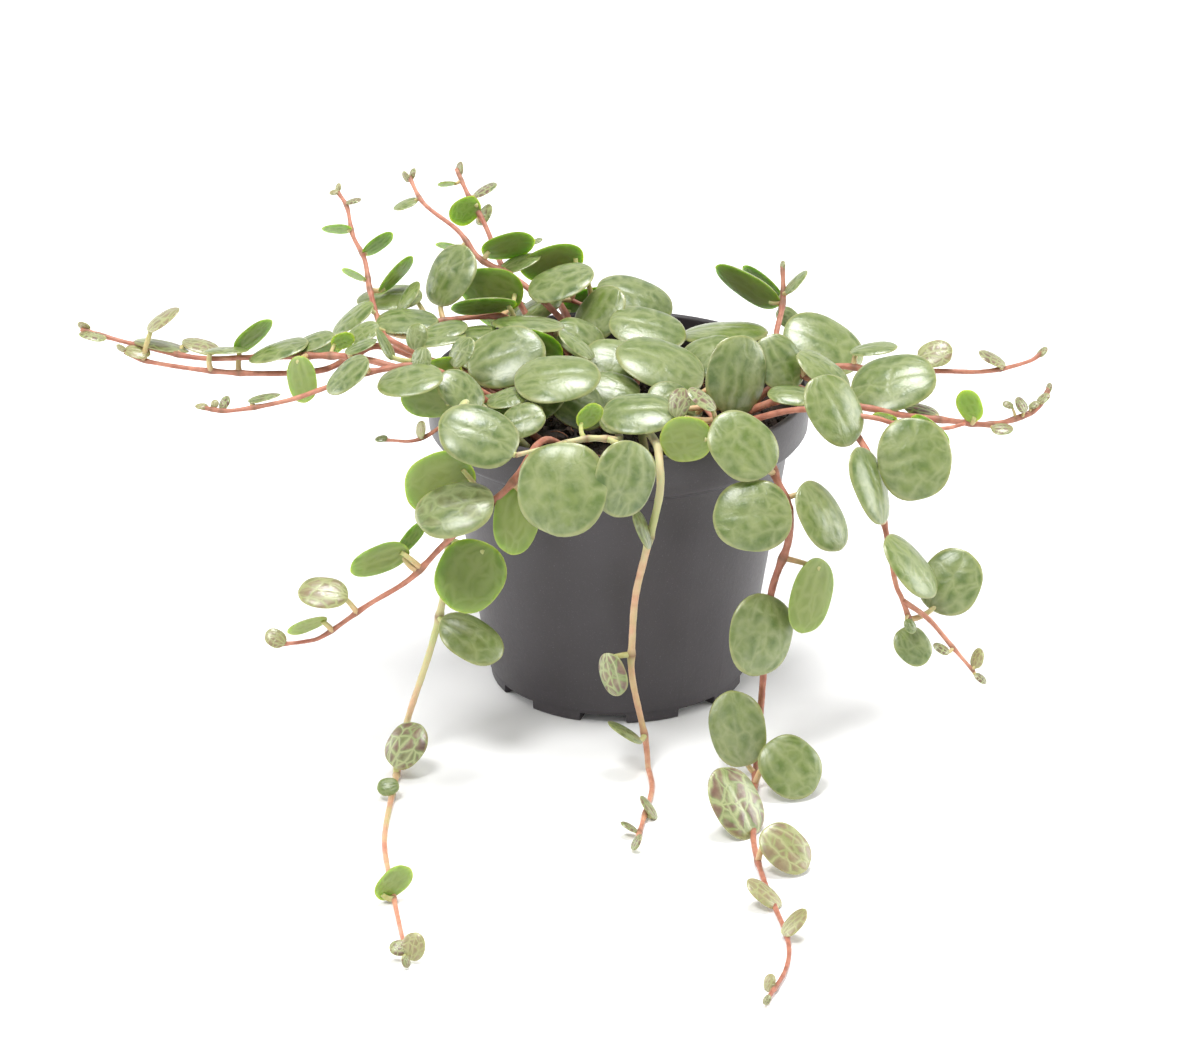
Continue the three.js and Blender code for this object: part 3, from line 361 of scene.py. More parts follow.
class Paint:
    """A new material with its node tree and the usual sources."""

    def __init__(self, name):
        self.material = bpy.data.materials.new(name)
        self.material.use_nodes = True
        self.tree = self.material.node_tree
        self.shader = self.tree.nodes["Principled BSDF"]

    def noise(self, scale, detail=3.0, roughness=0.5):
        node = self.tree.nodes.new("ShaderNodeTexNoise")
        node.inputs["Scale"].default_value = scale
        node.inputs["Detail"].default_value = detail
        node.inputs["Roughness"].default_value = roughness
        place = self.tree.nodes.new("ShaderNodeTexCoord").outputs["Object"]
        self.tree.links.new(place, node.inputs["Vector"])
        return Value(self.tree, node.outputs["Fac"])

    def attribute(self, name):
        node = self.tree.nodes.new("ShaderNodeAttribute")
        node.attribute_name = name
        return Value(self.tree, node.outputs["Fac"])

    def blade_coordinates(self):
        node = self.tree.nodes.new("ShaderNodeUVMap")
        node.uv_map = "blade"
        split = self.tree.nodes.new("ShaderNodeSeparateXYZ")
        self.tree.links.new(node.outputs["UV"], split.inputs[0])
        return [Value(self.tree, split.outputs[i]) * 2.0 - 1.0 for i in (0, 1)]

    def mix(self, amount, first, second):
        node = self.tree.nodes.new("ShaderNodeMix")
        node.data_type = "RGBA"
        self.tree.links.new(amount.source, node.inputs["Factor"])
        for socket, colour in ((node.inputs[6], first), (node.inputs[7], second)):
            if isinstance(colour, tuple):
                socket.default_value = (*colour, 1)
            else:
                self.tree.links.new(colour, socket)
        return node.outputs[2]

    def colour(self, output):
        self.tree.links.new(output, self.shader.inputs["Base Color"])

    def roughness(self, value):
        self.tree.links.new(value.source, self.shader.inputs["Roughness"])

    def bump(self, height, strength, distance):
        node = self.tree.nodes.new("ShaderNodeBump")
        node.inputs["Strength"].default_value = strength
        node.inputs["Distance"].default_value = distance
        self.tree.links.new(height.source, node.inputs["Height"])
        self.tree.links.new(node.outputs[0], self.shader.inputs["Normal"])

    def set(self, **values):
        for name, value in values.items():
            self.shader.inputs[name.replace("_", " ")].default_value = value


# ---- Colours: each pair is the darker and the lighter end of a cloudy mix ----
OLD_GREEN = ((0.044, 0.09, 0.01), (0.09, 0.14, 0.022))
LUSH_GREEN = ((0.09, 0.146, 0.018), (0.155, 0.21, 0.04))
YOUNG_BROWN = ((0.1, 0.045, 0.032), (0.17, 0.09, 0.06))
OLD_AND_YOUNG_VEIN = ((0.31, 0.345, 0.15), (0.37, 0.4, 0.19))
# Pale grey green mottle colour: partly the leaf's own waxy bloom, partly a painted sheen of the overhead
# light
BLOOM_AND_PAINTED_SHEEN = (0.3, 0.335, 0.17)
BUD = (0.36, 0.32, 0.14)
LEAF_RIM = (0.34, 0.33, 0.12)
UNDER_DEEP = ((0.085, 0.14, 0.01), (0.125, 0.19, 0.018))
UNDER_FLESH = (0.19, 0.235, 0.05)
UNDER_AGED = (0.26, 0.22, 0.09)
UNDER_VEIN = (0.28, 0.33, 0.11)
STEM_PALE = ((0.46, 0.48, 0.2), (0.6, 0.57, 0.32))
STEM_SALMON = ((0.46, 0.18, 0.11), (0.6, 0.3, 0.2))
STEM_BROWN = ((0.26, 0.085, 0.05), (0.42, 0.16, 0.1))
STEM_KNOT = (0.2, 0.1, 0.055)
PETIOLE_GREEN = ((0.38, 0.43, 0.13), (0.52, 0.54, 0.24))
PETIOLE_BLUSH = (0.56, 0.28, 0.17)
POT_GREY = ((0.036, 0.031, 0.034), (0.046, 0.04, 0.045))
POT_SPECK = (0.13, 0.115, 0.13)
SOIL_DARK = ((0.012, 0.008, 0.006), (0.06, 0.034, 0.02))
SOIL_BROWN = (0.11, 0.06, 0.032)
FIBRE_RED = ((0.13, 0.045, 0.022), (0.3, 0.13, 0.06))
PAPER = ((0.9, 0.9, 0.9), (0.93, 0.93, 0.93))

# ---- Materials ----
CELLS_ALONG = 2.0
CELLS_ACROSS = 2.0
MAIN_VEIN_SPREAD = 0.5


class Veins:
    """The tortoise-shell pattern of one blade: main veins from the petiole, and a net of cells."""

    def __init__(self, paint):
        x, y = paint.blade_coordinates()
        self.seed = paint.attribute("seed")
        self.edge = (x * x + y * y)
        sway = (paint.noise(210.0, 3.0) - 0.5) * 0.5
        swing = (paint.noise(330.0, 3.0) - 0.5) * 0.5
        along, across = x + sway, y + swing
        room = ((along * along).flipped() * 0.85 + 0.2).larger(0.3)
        meridian = across / room
        bowed = meridian * 0.45 + across * 0.55
        self.cells, self.tone = self.cell_net(paint, along, bowed)
        lane = (meridian.size() - MAIN_VEIN_SPREAD).size()
        self.main = meridian.size().smaller(lane) * room
        self.near_stalk = x.smooth(0.9, -0.6)
        self.patchy = paint.noise(170.0, 2.0).smooth(0.32, 0.56)

    def cell_net(self, paint, along, across):
        """Distance to the nearest cell border, and a random tone for each cell."""
        place = paint.tree.nodes.new("ShaderNodeCombineXYZ")
        for index, value in enumerate((along * CELLS_ALONG, across * CELLS_ACROSS,
                                       self.seed * 37.0)):
            paint.tree.links.new(value.source, place.inputs[index])
        outputs = []
        for feature, output in (("DISTANCE_TO_EDGE", "Distance"), ("F1", "Color")):
            net = paint.tree.nodes.new("ShaderNodeTexVoronoi")
            net.feature = feature
            net.inputs["Scale"].default_value = 1.0
            net.inputs["Randomness"].default_value = 0.9
            paint.tree.links.new(place.outputs[0], net.inputs["Vector"])
            outputs.append(Value(paint.tree, net.outputs[output]))
        return outputs

    def lines(self, width):
        """1 on a vein, falling softly to 0 over the width."""
        net = self.cells.smooth(width, 0.0) * (self.patchy * 0.6 + 0.3)
        main = self.main.smooth(width * 0.8, 0.0) * (self.near_stalk * 0.6 + 0.4)
        return net.larger(main).clamped()


def leaf_upper():
    """Waxy upper side: green cells between pale veins, with brown purple hearts when young, and pale
    mottles that are partly waxy bloom and partly a painted sheen.
    """
    paint = Paint("leaf_upper")
    veins = Veins(paint)
    youth = paint.attribute("youth")
    young = youth.smooth(0.28, 0.66)
    bud = youth.smooth(0.72, 0.95)
    thin = veins.lines(0.1)
    broad = veins.lines(0.3)
    cloud = paint.noise(520.0, 4.0)
    old = paint.mix(cloud.smooth(0.3, 0.7), *OLD_GREEN)
    lush = paint.mix(cloud.smooth(0.3, 0.7), *LUSH_GREEN)
    cells = paint.mix((veins.seed * 0.65 + veins.tone * 0.35).clamped(), old, lush)
    heart = (veins.cells + (cloud - 0.5) * 0.12).smooth(0.05, 0.13)
    chosen = (veins.tone + young * 0.35).smooth(0.42, 0.56)
    brown = paint.mix(cloud.smooth(0.35, 0.65), *YOUNG_BROWN)
    cells = paint.mix((young * heart * chosen).clamped(), cells, brown)
    pale = paint.mix(young, *OLD_AND_YOUNG_VEIN)
    strength = (thin * 0.1 + broad * 0.44 + young * thin * 0.45).clamped()
    surface = paint.mix(strength, cells, pale)
    # Pale mottles over the upper side: partly waxy bloom, partly a painted sheen of the overhead light
    bloom_and_sheen_mottle = paint.noise(700.0, 5.0)
    surface = paint.mix(bloom_and_sheen_mottle.smooth(0.42, 0.72) * 0.3, surface, BLOOM_AND_PAINTED_SHEEN)
    surface = paint.mix(bud * 0.55, surface, BUD)
    rim = veins.edge.smooth(0.86, 0.98)
    paint.colour(paint.mix(rim * 0.4, surface, LEAF_RIM))
    paint.roughness(cloud * 0.2 + 0.26)
    grain = paint.noise(2600.0, 2.0)
    paint.bump(broad * -0.6 + grain * 0.3 + cloud * 0.7, 0.5, 0.00024)
    paint.set(Subsurface_Weight=0.12, Subsurface_Scale=0.001, Coat_Weight=0.7,
              Coat_Roughness=0.27)
    paint.shader.inputs["Subsurface Radius"].default_value = (0.8, 1.0, 0.4)
    return paint.material


def leaf_under():
    """Underside: smooth olive green that glows a little, where the veins show pale."""
    paint = Paint("leaf_under")
    veins = Veins(paint)
    youth = paint.attribute("youth")
    broad = veins.lines(0.3)
    cloud = paint.noise(300.0, 3.0)
    deep = paint.mix(cloud.smooth(0.3, 0.7), *UNDER_DEEP)
    flesh = paint.mix(veins.seed, deep, UNDER_FLESH)
    aged = paint.mix(youth.smooth(0.3, 0.9), flesh, UNDER_AGED)
    paint.colour(paint.mix(broad * 0.5, aged, UNDER_VEIN))
    paint.roughness(cloud * 0.15 + 0.36)
    paint.bump(broad * 0.5 + cloud * 0.5, 0.35, 0.0002)
    paint.set(Subsurface_Weight=0.6, Subsurface_Scale=0.0025)
    paint.shader.inputs["Subsurface Radius"].default_value = (0.6, 1.0, 0.1)
    return paint.material


def stem_skin():
    """Fleshy stem: cream green where pale, then salmon, then red brown where most reddened."""
    paint = Paint("stem_skin")
    fine = paint.noise(900.0, 4.0)
    broad = paint.noise(180.0, 2.0)
    red = paint.attribute("redness") + (broad - 0.5) * 0.7
    knot = paint.attribute("knot")
    pale = paint.mix(broad.smooth(0.3, 0.7), *STEM_PALE)
    salmon = paint.mix(fine.smooth(0.25, 0.75), *STEM_SALMON)
    brown = paint.mix(fine.smooth(0.25, 0.75), *STEM_BROWN)
    skin = paint.mix(red.smooth(0.1, 0.5), pale, salmon)
    skin = paint.mix(red.smooth(0.5, 1.0), skin, brown)
    paint.colour(paint.mix(knot * 0.8, skin, STEM_KNOT))
    paint.roughness(fine * 0.2 + 0.38)
    paint.bump(fine, 0.35, 0.00015)
    paint.set(Subsurface_Weight=0.15, Subsurface_Scale=0.001)
    return paint.material


def petiole_skin():
    """Leaf stalk: pale yellow green, a little pink beside the stem."""
    paint = Paint("petiole_skin")
    share = paint.attribute("share")
    red = paint.attribute("redness")
    fine = paint.noise(800.0, 3.0)
    green = paint.mix(fine.smooth(0.3, 0.7), *PETIOLE_GREEN)
    blush = (share.flipped() * 0.8 + 0.15) * red
    paint.colour(paint.mix(blush.clamped(), green, PETIOLE_BLUSH))
    paint.roughness(fine * 0.15 + 0.38)
    paint.set(Subsurface_Weight=0.15, Subsurface_Scale=0.001)
    return paint.material


def pot_plastic():
    """Thin matt recycled plastic: dark purple grey, lightly mottled, fine grain."""
    paint = Paint("pot_plastic")
    grain = paint.noise(1500.0, 3.0)
    speck = paint.noise(5200.0, 2.0)
    broad = paint.noise(45.0, 3.0)
    base = paint.mix(broad.smooth(0.3, 0.7), *POT_GREY)
    paint.colour(paint.mix(speck.smooth(0.62, 0.75) * 0.4, base, POT_SPECK))
    paint.roughness(grain * 0.14 + 0.36)
    paint.bump(grain * 0.6 + speck * 0.4, 0.28, 0.00012)
    return paint.material


def soil_mix():
    """Moist potting mix: near black crumbs with brown ones among them."""
    paint = Paint("soil_mix")
    crumb = paint.noise(420.0, 5.0, roughness=0.65)
    broad = paint.noise(90.0, 2.0)
    dark = paint.mix(crumb.smooth(0.35, 0.7), *SOIL_DARK)
    paint.colour(paint.mix(broad.smooth(0.55, 0.75) * 0.5, dark, SOIL_BROWN))
    paint.roughness(crumb * 0.2 + 0.75)
    paint.bump(crumb, 0.8, 0.0006)
    return paint.material


def fibre_skin():
    """Reddish coir and bark fibres on the soil."""
    paint = Paint("fibre_skin")
    fine = paint.noise(700.0, 3.0)
    paint.colour(paint.mix(fine.smooth(0.3, 0.7), *FIBRE_RED))
    paint.set(Roughness=0.7)
    return paint.material


def floor_paper():
    """Pale seamless background."""
    paint = Paint("floor_paper")
    tone = paint.noise(3.0, 2.0)
    paint.colour(paint.mix(tone, *PAPER))
    paint.set(Roughness=0.9)
    return paint.material


# ---- Mesh helpers ----
def new_piece(name, points, faces, materials, slots=None, smooth=True):
    """Make an object from points in millimetres."""
    mesh = bpy.data.meshes.new(name)
    mesh.from_pydata([Vector(point) * MM for point in points], [], faces)
    for material in materials:
        mesh.materials.append(material)
    if slots:
        mesh.polygons.foreach_set("material_index", slots)
    mesh.polygons.foreach_set("use_smooth", [smooth] * len(mesh.polygons))
    mesh.update()
    piece = bpy.data.objects.new(name, mesh)
    bpy.context.scene.collection.objects.link(piece)
    return piece


def give_attribute(piece, name, values):
    data = piece.data.attributes.new(name, "FLOAT", "POINT")
    data.data.foreach_set("value", values)


def grid_faces(rows, columns, first=0):
    """Faces of a tube of rows of points, each row closed on itself."""
    faces = []
    for row in range(rows - 1):
        for column in range(columns):
            beside = (column + 1) % columns
            low = first + row * columns
            high = low + columns
            faces.append((low + column, low + beside, high + beside, high + column))
    return faces


def add_body(points, faces, body):
    """Append a body's points and faces, and say how many points it has."""
    more_points, more_faces = body
    offset = len(points)
    points += more_points
    faces += [tuple(corner + offset for corner in face) for face in more_faces]
    return len(more_points)


def ring_points(reach, heights, centre=(0, 0)):
    """One round of points about an upright line, with a height for each."""
    count = len(heights)
    return [(centre[0] + reach * math.cos(i * math.tau / count),
             centre[1] + reach * math.sin(i * math.tau / count), height)
            for i, height in enumerate(heights)]


# ---- Directions that the plant grows by ----
RIGHT = Vector((1, 0, 0))
UP = Vector((0, math.sin(LIGHT_ELEVATION), math.cos(LIGHT_ELEVATION)))
TOWARD = Vector((0, -math.cos(LIGHT_ELEVATION), math.sin(LIGHT_ELEVATION)))


def plant_point(place):
    right, up, toward = place
    return Vector((0, 0, POT_HEIGHT)) + RIGHT * right + UP * up + TOWARD * toward


# ---- Stem routes: the same smooth curve as in the CAD ----
def stem_points(shoot):
    _, radius, root, route = shoot[:4]
    lowest = radius + FLOOR_CLEARANCE
    points = [Vector((root[0], root[1], SOIL_TOP + radius))] if root else []
    for place in route:
        flat = len(place) == 2
        points.append(Vector((place[0], place[1], lowest)) if flat else plant_point(place))
    return points


def on_curve(points, lowest, share):
    """A Catmull-Rom curve through the points, kept above the surface."""
    reach = (len(points) - 1) * share
    index = min(int(reach), len(points) - 2)
    t = reach - index
    before = points[index - 1] if index else points[0] * 2 - points[1]
    after = points[index + 2] if index + 2 < len(points) else points[-1] * 2 - points[-2]
    start, end = points[index], points[index + 1]
    slope_in = (end - before) * 0.5
    slope_out = (after - start) * 0.5
    place = ((2 * start - 2 * end + slope_in + slope_out) * t ** 3
             + (3 * end - 3 * start - 2 * slope_in - slope_out) * t ** 2
             + slope_in * t + start)
    place.z = max(place.z, lowest)
    return place


def even_route(shoot, step):
    """The stem's centre line as points an even step apart."""
    points = stem_points(shoot)
    lowest = shoot[1] + FLOOR_CLEARANCE
    fine = [on_curve(points, lowest, i / CURVE_SAMPLES) for i in range(CURVE_SAMPLES + 1)]
    length = sum((b - a).length for a, b in zip(fine, fine[1:]))
    count = max(int(length / step), 4)
    route, walked, target = [fine[0]], 0.0, length / count
    for a, b in zip(fine, fine[1:]):
        walked += (b - a).length
        if walked >= target and len(route) < count:
            route.append(b)
            target += length / count
    return route + [fine[-1]]


def sweep(route, radii, sides):
    """Points and faces of a closed tube along the route."""
    tangent = (route[1] - route[0]).normalized()
    side = tangent.orthogonal().normalized()
    points = []
    for index, (centre, radius) in enumerate(zip(route, radii)):
        ahead = route[min(index + 1, len(route) - 1)]
        behind = route[max(index - 1, 0)]
        tangent = (ahead - behind).normalized()
        side = (side - tangent * side.dot(tangent)).normalized()
        other = tangent.cross(side)
        for corner in range(sides):
            angle = corner * math.tau / sides
            offset = side * math.cos(angle) + other * math.sin(angle)
            points.append(centre + offset * radius)
    faces = grid_faces(len(route), sides)
    faces.append(tuple(reversed(range(sides))))
    last = len(points) - sides
    faces.append(tuple(last + corner for corner in range(sides)))
    return points, faces


# ---- Leaves ----
class Blade:
    """One leaf blade's place, directions and sizes, worked out from its row."""

    def __init__(self, row, route):
        right, up, toward, self.length, self.width, turn, roll, self.youth = row
        turned, rolled = math.radians(turn), math.radians(roll)
        along = RIGHT * math.cos(turned) + UP * math.sin(turned)
        side = TOWARD.cross(along)
        self.normal = TOWARD * math.cos(rolled) + side * math.sin(rolled)
        across = self.normal.cross(along)
        self.thickness = max(self.length * BLADE_THICKNESS, THINNEST_BLADE)
        self.centre = plant_point((right, up, toward))
        drop = math.hypot(along.z * self.length, across.z * self.width,
                          self.normal.z * self.thickness) / 2
        self.centre.z = max(self.centre.z, drop + FLOOR_CLEARANCE)
        ends = [self.centre + along * (sign * self.length * PETIOLE_SEAT)
                - self.normal * (self.thickness * 0.3) for sign in (-1, 1)]
        starts = [min(route, key=lambda place: (place - end).length) for end in ends]
        reach = [(end - start).length for end, start in zip(ends, starts)]
        near = 0 if reach[0] <= reach[1] else 1
        self.end, self.start = ends[near], starts[near]
        self.along = along if near == 0 else -along
        self.across = self.normal.cross(self.along)


def blade_outline(angle, shape_seed):
    """Rounded blade with a slight blunt tip and small random lobes."""
    turn = (angle + math.pi) % math.tau - math.pi
    tip = 0.03 * math.exp(-((turn / 0.22) ** 2))
    lobes = 0.014 * math.sin(3 * angle + shape_seed) + 0.01 * math.sin(5 * angle - shape_seed)
    square = (abs(math.cos(angle)) ** 2.4 + abs(math.sin(angle)) ** 2.4) ** (-1 / 2.4)
    return square * 0.985 + tip + lobes


def blade_mesh(blade, dice):
    """Points, faces, sides and blade coordinates of one plump blade."""
    rings, spokes = FINE_BLADE if blade.length > FINE_BLADE_LENGTH else SMALL_BLADE
    shape_seed = dice.uniform(0, math.tau)
    cup = dice.uniform(0.02, 0.05) * blade.length
    fold = dice.uniform(-0.03, 0.03) * blade.length
    crest = CREST_SHARE * blade.thickness
    belly = BELLY_SHARE * blade.thickness
    points, coordinates, faces, slots = [], [], [], []

    def place(radius, angle, upper):
        reach = radius * blade_outline(angle, shape_seed)
        x, y = reach * math.cos(angle), reach * math.sin(angle)
        x_shape = x * (1 - 0.05 * y * y)
        round_off = max(1 - radius ** 2.4, 0) ** 0.62
        height = crest * round_off if upper else -belly * round_off
        height += cup * (0.35 - radius * radius) * 0.6 + fold * x * y
        height -= 0.05 * blade.thickness * (1 if upper else 0) * math.exp(-(y / 0.09) ** 2)
        points.append(blade.centre + blade.along * (x_shape * blade.length / 2)
                      + blade.across * (y * blade.width / 2) + blade.normal * height)
        coordinates.append((0.5 + 0.5 * x, 0.5 + 0.5 * y))

    for upper in (True, False):
        centre = len(points)
        place(0, 0, upper)
        last_ring = rings if upper else rings - 1
        for ring in range(1, last_ring + 1):
            radius = math.sin(ring / rings * math.pi / 2)
            for spoke in range(spokes):
                place(radius, spoke * math.tau / spokes, upper)
        first = centre + 1
        for spoke in range(spokes):
            beside = (spoke + 1) % spokes
            tri = (centre, first + spoke, first + beside)
            faces.append(tri if upper else tri[::-1])
        for ring in range(last_ring - 1):
            for spoke in range(spokes):
                beside = (spoke + 1) % spokes
                low, high = first + ring * spokes, first + (ring + 1) * spokes
                quad = (low + spoke, high + spoke, high + beside, low + beside)
                faces.append(quad if upper else quad[::-1])
        slots += [0 if upper else 1] * (len(faces) - len(slots))
        if upper:
            edge = first + (rings - 1) * spokes
    under = first + (rings - 2) * spokes
    for spoke in range(spokes):
        beside = (spoke + 1) % spokes
        faces.append((under + beside, under + spoke, edge + spoke, edge + beside)[::-1])
        slots.append(1)
    return points, faces, slots, coordinates


def build_blade(name, blade, dice, paints):
    points, faces, slots, coordinates = blade_mesh(blade, dice)
    piece = new_piece(name, points, faces, (paints["upper"], paints["under"]), slots)
    layer = piece.data.uv_layers.new(name="blade")
    for loop in piece.data.loops:
        layer.data[loop.index].uv = coordinates[loop.vertex_index]
    give_attribute(piece, "youth", [blade.youth] * len(points))
    give_attribute(piece, "seed", [dice.random()] * len(points))
    return piece


def petiole_route(blade):
    """From inside the stem, out and round to the underside of the blade."""
    reach = blade.end - blade.start
    bend = blade.start + reach * 0.55 + Vector((0, 0, -0.1 * reach.length))
    bend -= blade.along * 0.16 * min(reach.length, 5.0)
    route = []
    for index in range(PETIOLE_STEPS + 1):
        t = index / PETIOLE_STEPS
        route.append(blade.start * (1 - t) ** 2 + bend * (2 * t * (1 - t)) + blade.end * t * t)
    return route


def stem_tube(route, radius, joints):
    """A tapering stem that swells at each joint: its points, its faces and each point's knot."""
    radii, knots = [], []
    for index, place in enumerate(route):
        share = index / (len(route) - 1)
        taper = 1.0 - STEM_TAPER * share ** 1.3
        near = min((place - joint).length for joint in joints)
        swell = math.exp(-((near / KNOT_REACH) ** 2))
        ripple = 0.03 * math.sin(index * 0.9) + 0.02 * math.sin(index * 2.3 + radius)
        radii.append(STEM_FILL * radius * taper * (1 + KNOT_SWELL * swell + ripple))
        knots.append(math.exp(-((near / KNOT_MARK) ** 2)))
    points, faces = sweep(route, radii, STEM_SIDES)
    for point in points:
        point.z = max(point.z, FLOOR_CLEARANCE)
    return points, faces, [knots[index // STEM_SIDES] for index in range(len(points))]


def petiole_tube(blade):
    thick = min(0.4, 0.05 * blade.length + 0.12)
    radii = [thick * (1.25 - 0.35 * i / PETIOLE_STEPS) for i in range(PETIOLE_STEPS + 1)]
    return sweep(petiole_route(blade), radii, PETIOLE_SIDES)


def build_stem(shoot, route, blades, paints):
    """One piece: the stem with its knots, and every petiole on it."""
    name, radius = shoot[0], shoot[1]
    points, faces, knot_of = stem_tube(route, radius, [blade.start for blade in blades])
    stem_count = len(faces)
    share_of = [index // STEM_SIDES / len(route) for index in range(len(points))]
    for blade in blades:
        added = add_body(points, faces, petiole_tube(blade))
        share_of += [i // PETIOLE_SIDES / PETIOLE_STEPS for i in range(added)]
        knot_of += [0.0] * added
    slots = [0] * stem_count + [1] * (len(faces) - stem_count)
    stem = new_piece("stem_" + name + "_fine", points, faces,
                     (paints["stem"], paints["petiole"]), slots)
    give_attribute(stem, "share", share_of)
    give_attribute(stem, "knot", knot_of)
    redness = REDNESS.get(name, USUAL_REDNESS)
    tip = TIP_REDNESS.get(name, 0)
    give_attribute(stem, "redness", [redness + tip * share for share in share_of])
    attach(stem, "root")
    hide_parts("stem_" + name)


def build_shoot(shoot, dice, paints):
    """One stem with its petioles in one piece, and each blade as its own piece."""
    name = shoot[0]
    route = even_route(shoot, STEM_STEP)
    blades = [Blade(row, route) for row in shoot[4]]
    build_stem(shoot, route, blades, paints)
    large = 0
    for index, blade in enumerate(blades):
        piece = build_blade(f"blade_{name}_{index + 1:02d}", blade, dice, paints)
        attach(piece, "root")
        if blade.length >= OWN_NODE_LENGTH:
            large += 1
            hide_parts(f"leaf_{name}_{large}")


# ---- Pot ----
FOOT_INSET = 0.25
FOOT_ROUNDING = 0.45
SEAM_HEIGHT = 1.95
CREASE_ANGLE = math.radians(34)
DRAIN_SIDES = 24


def arc_points(centre, radius, start, end, count):
    """Points on an arc in the pot's section; angles in degrees."""
    return [(centre[0] + radius * math.cos(math.radians(start + (end - start) * i / count)),
             centre[1] + radius * math.sin(math.radians(start + (end - start) * i / count)))
            for i in range(count + 1)]


def pot_section():
    """Half section from the middle of the underside, up the outside and down the inside."""
    step = POT_HEIGHT - COLLAR_HEIGHT
    foot = (BASE_RADIUS - FOOT_INSET - FOOT_ROUNDING, FOOT_ROUNDING)
    under = [(0, 0), (CHANNEL_START, 0), (CHANNEL_START + 0.1, 0), (DRAIN_DISTANCE, 0)]
    outer = arc_points(foot, FOOT_ROUNDING, -90, 0, 5)
    seam = [(BASE_RADIUS - FOOT_INSET, SEAM_HEIGHT - 0.12), (BASE_RADIUS - 0.34, SEAM_HEIGHT),
            (BASE_RADIUS + 0.12, SEAM_HEIGHT + 0.12), (BASE_RADIUS + 0.1, SEAM_HEIGHT + 0.5)]
    body = [(BASE_RADIUS + (BODY_TOP_RADIUS - BASE_RADIUS) * t, step * t)
            for t in (0.1, 0.25, 0.45, 0.65, 0.85, 1)]
    shoulder = [(BODY_TOP_RADIUS + 0.15, step + 0.25), (BODY_TOP_RADIUS + 1.3, step + 0.9),
                (RIM_RADIUS - 0.9, step + 1.5), (RIM_RADIUS - 0.4, step + COLLAR_STEP - 0.4)]
    lip = arc_points((RIM_RADIUS - WALL / 2, POT_HEIGHT - WALL / 2), WALL / 2, 0, 180, 8)
    inner = [(RIM_RADIUS - WALL, step + COLLAR_STEP), (BODY_TOP_RADIUS - WALL, step),
             (BASE_RADIUS - WALL, POT_FLOOR + 1), (BASE_RADIUS - WALL - 1, POT_FLOOR),
             (0, POT_FLOOR)]
    return under + outer + seam + body + shoulder + lip + inner


def pot_spokes():
    """Angles round the pot, with close pairs at the channels' edges, and which are in one."""
    half = math.asin(CHANNEL_WIDTH / 2 / BASE_RADIUS)
    pitch = math.tau / CHANNELS
    crisp = math.radians(0.15)
    angles, cut = [], []
    for index in range(CHANNELS):
        middle = FIRST_CHANNEL + index * pitch
        for count, start, end, inside in ((6, -half + crisp, half - crisp, True),
                                          (9, half + crisp, pitch - half - crisp, False)):
            for step in range(count + 1):
                angles.append(middle + start + (end - start) * step / count)
                cut.append(inside)
    return angles, cut


def build_pot(paints):
    angles, cut = pot_spokes()
    spokes = len(angles)
    section = pot_section()
    points = []
    ring_rows = section[1:-1]
    for radius, height in ring_rows:
        lower = radius > CHANNEL_START and height < CHANNEL_DEPTH
        for angle, inside in zip(angles, cut):
            level = CHANNEL_DEPTH if lower and inside else height
            points.append((radius * math.cos(angle), radius * math.sin(angle), level))
    faces = grid_faces(len(ring_rows), spokes)
    low, high = len(points), len(points) + 1
    points += [(0, 0, 0), (0, 0, POT_FLOOR)]
    last = (len(ring_rows) - 1) * spokes
    for spoke in range(spokes):
        beside = (spoke + 1) % spokes
        faces.append((low, beside, spoke))
        faces.append((high, last + spoke, last + beside))
    pot = new_piece("pot_shell", points, faces, (paints["pot"],))
    cut_drains(pot)
    pot.data.set_sharp_from_angle(angle=CREASE_ANGLE)
    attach(pot, "root")
    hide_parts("pot")


def cut_drains(pot):
    """Cut the round drain holes through the floor of the channels."""
    sides = DRAIN_SIDES
    points, faces = [], []
    for index in range(CHANNELS):
        angle = FIRST_CHANNEL + index * math.tau / CHANNELS
        centre = Vector((math.cos(angle), math.sin(angle), 0)) * DRAIN_DISTANCE
        first = len(points)
        for height in (-1, POT_FLOOR + 1):
            points += ring_points(DRAIN_RADIUS, [height] * sides, centre)
        faces += grid_faces(2, sides, first)
        faces.append(tuple(first + corner for corner in reversed(range(sides))))
        faces.append(tuple(first + sides + corner for corner in range(sides)))
    cutter = new_piece("drain_cutter", points, faces, ())
    cut = pot.modifiers.new("drains", "BOOLEAN")
    cut.operation = "DIFFERENCE"
    cut.object = cutter
    graph = bpy.context.evaluated_depsgraph_get()
    cut_mesh = bpy.data.meshes.new_from_object(pot.evaluated_get(graph))
    pot.modifiers.clear()
    pot.data = cut_mesh
    bpy.data.objects.remove(cutter)


# ---- Soil ----
SOIL_SEED = 7
SOIL_SINK = 0.5
SOIL_SAG = 0.8
SOIL_LUMP = 0.35
CRUMBS = 2400
FIBRES = 90
FIBRE_RADIUS = 0.09


def build_soil(paints):
    dice = random.Random(SOIL_SEED)
    radius = RIM_RADIUS - WALL - GAP
    build_soil_bed(dice, radius, paints)
    build_crumbs(dice, radius - 0.8, paints)
    build_fibres(dice, radius - 2.5, paints)


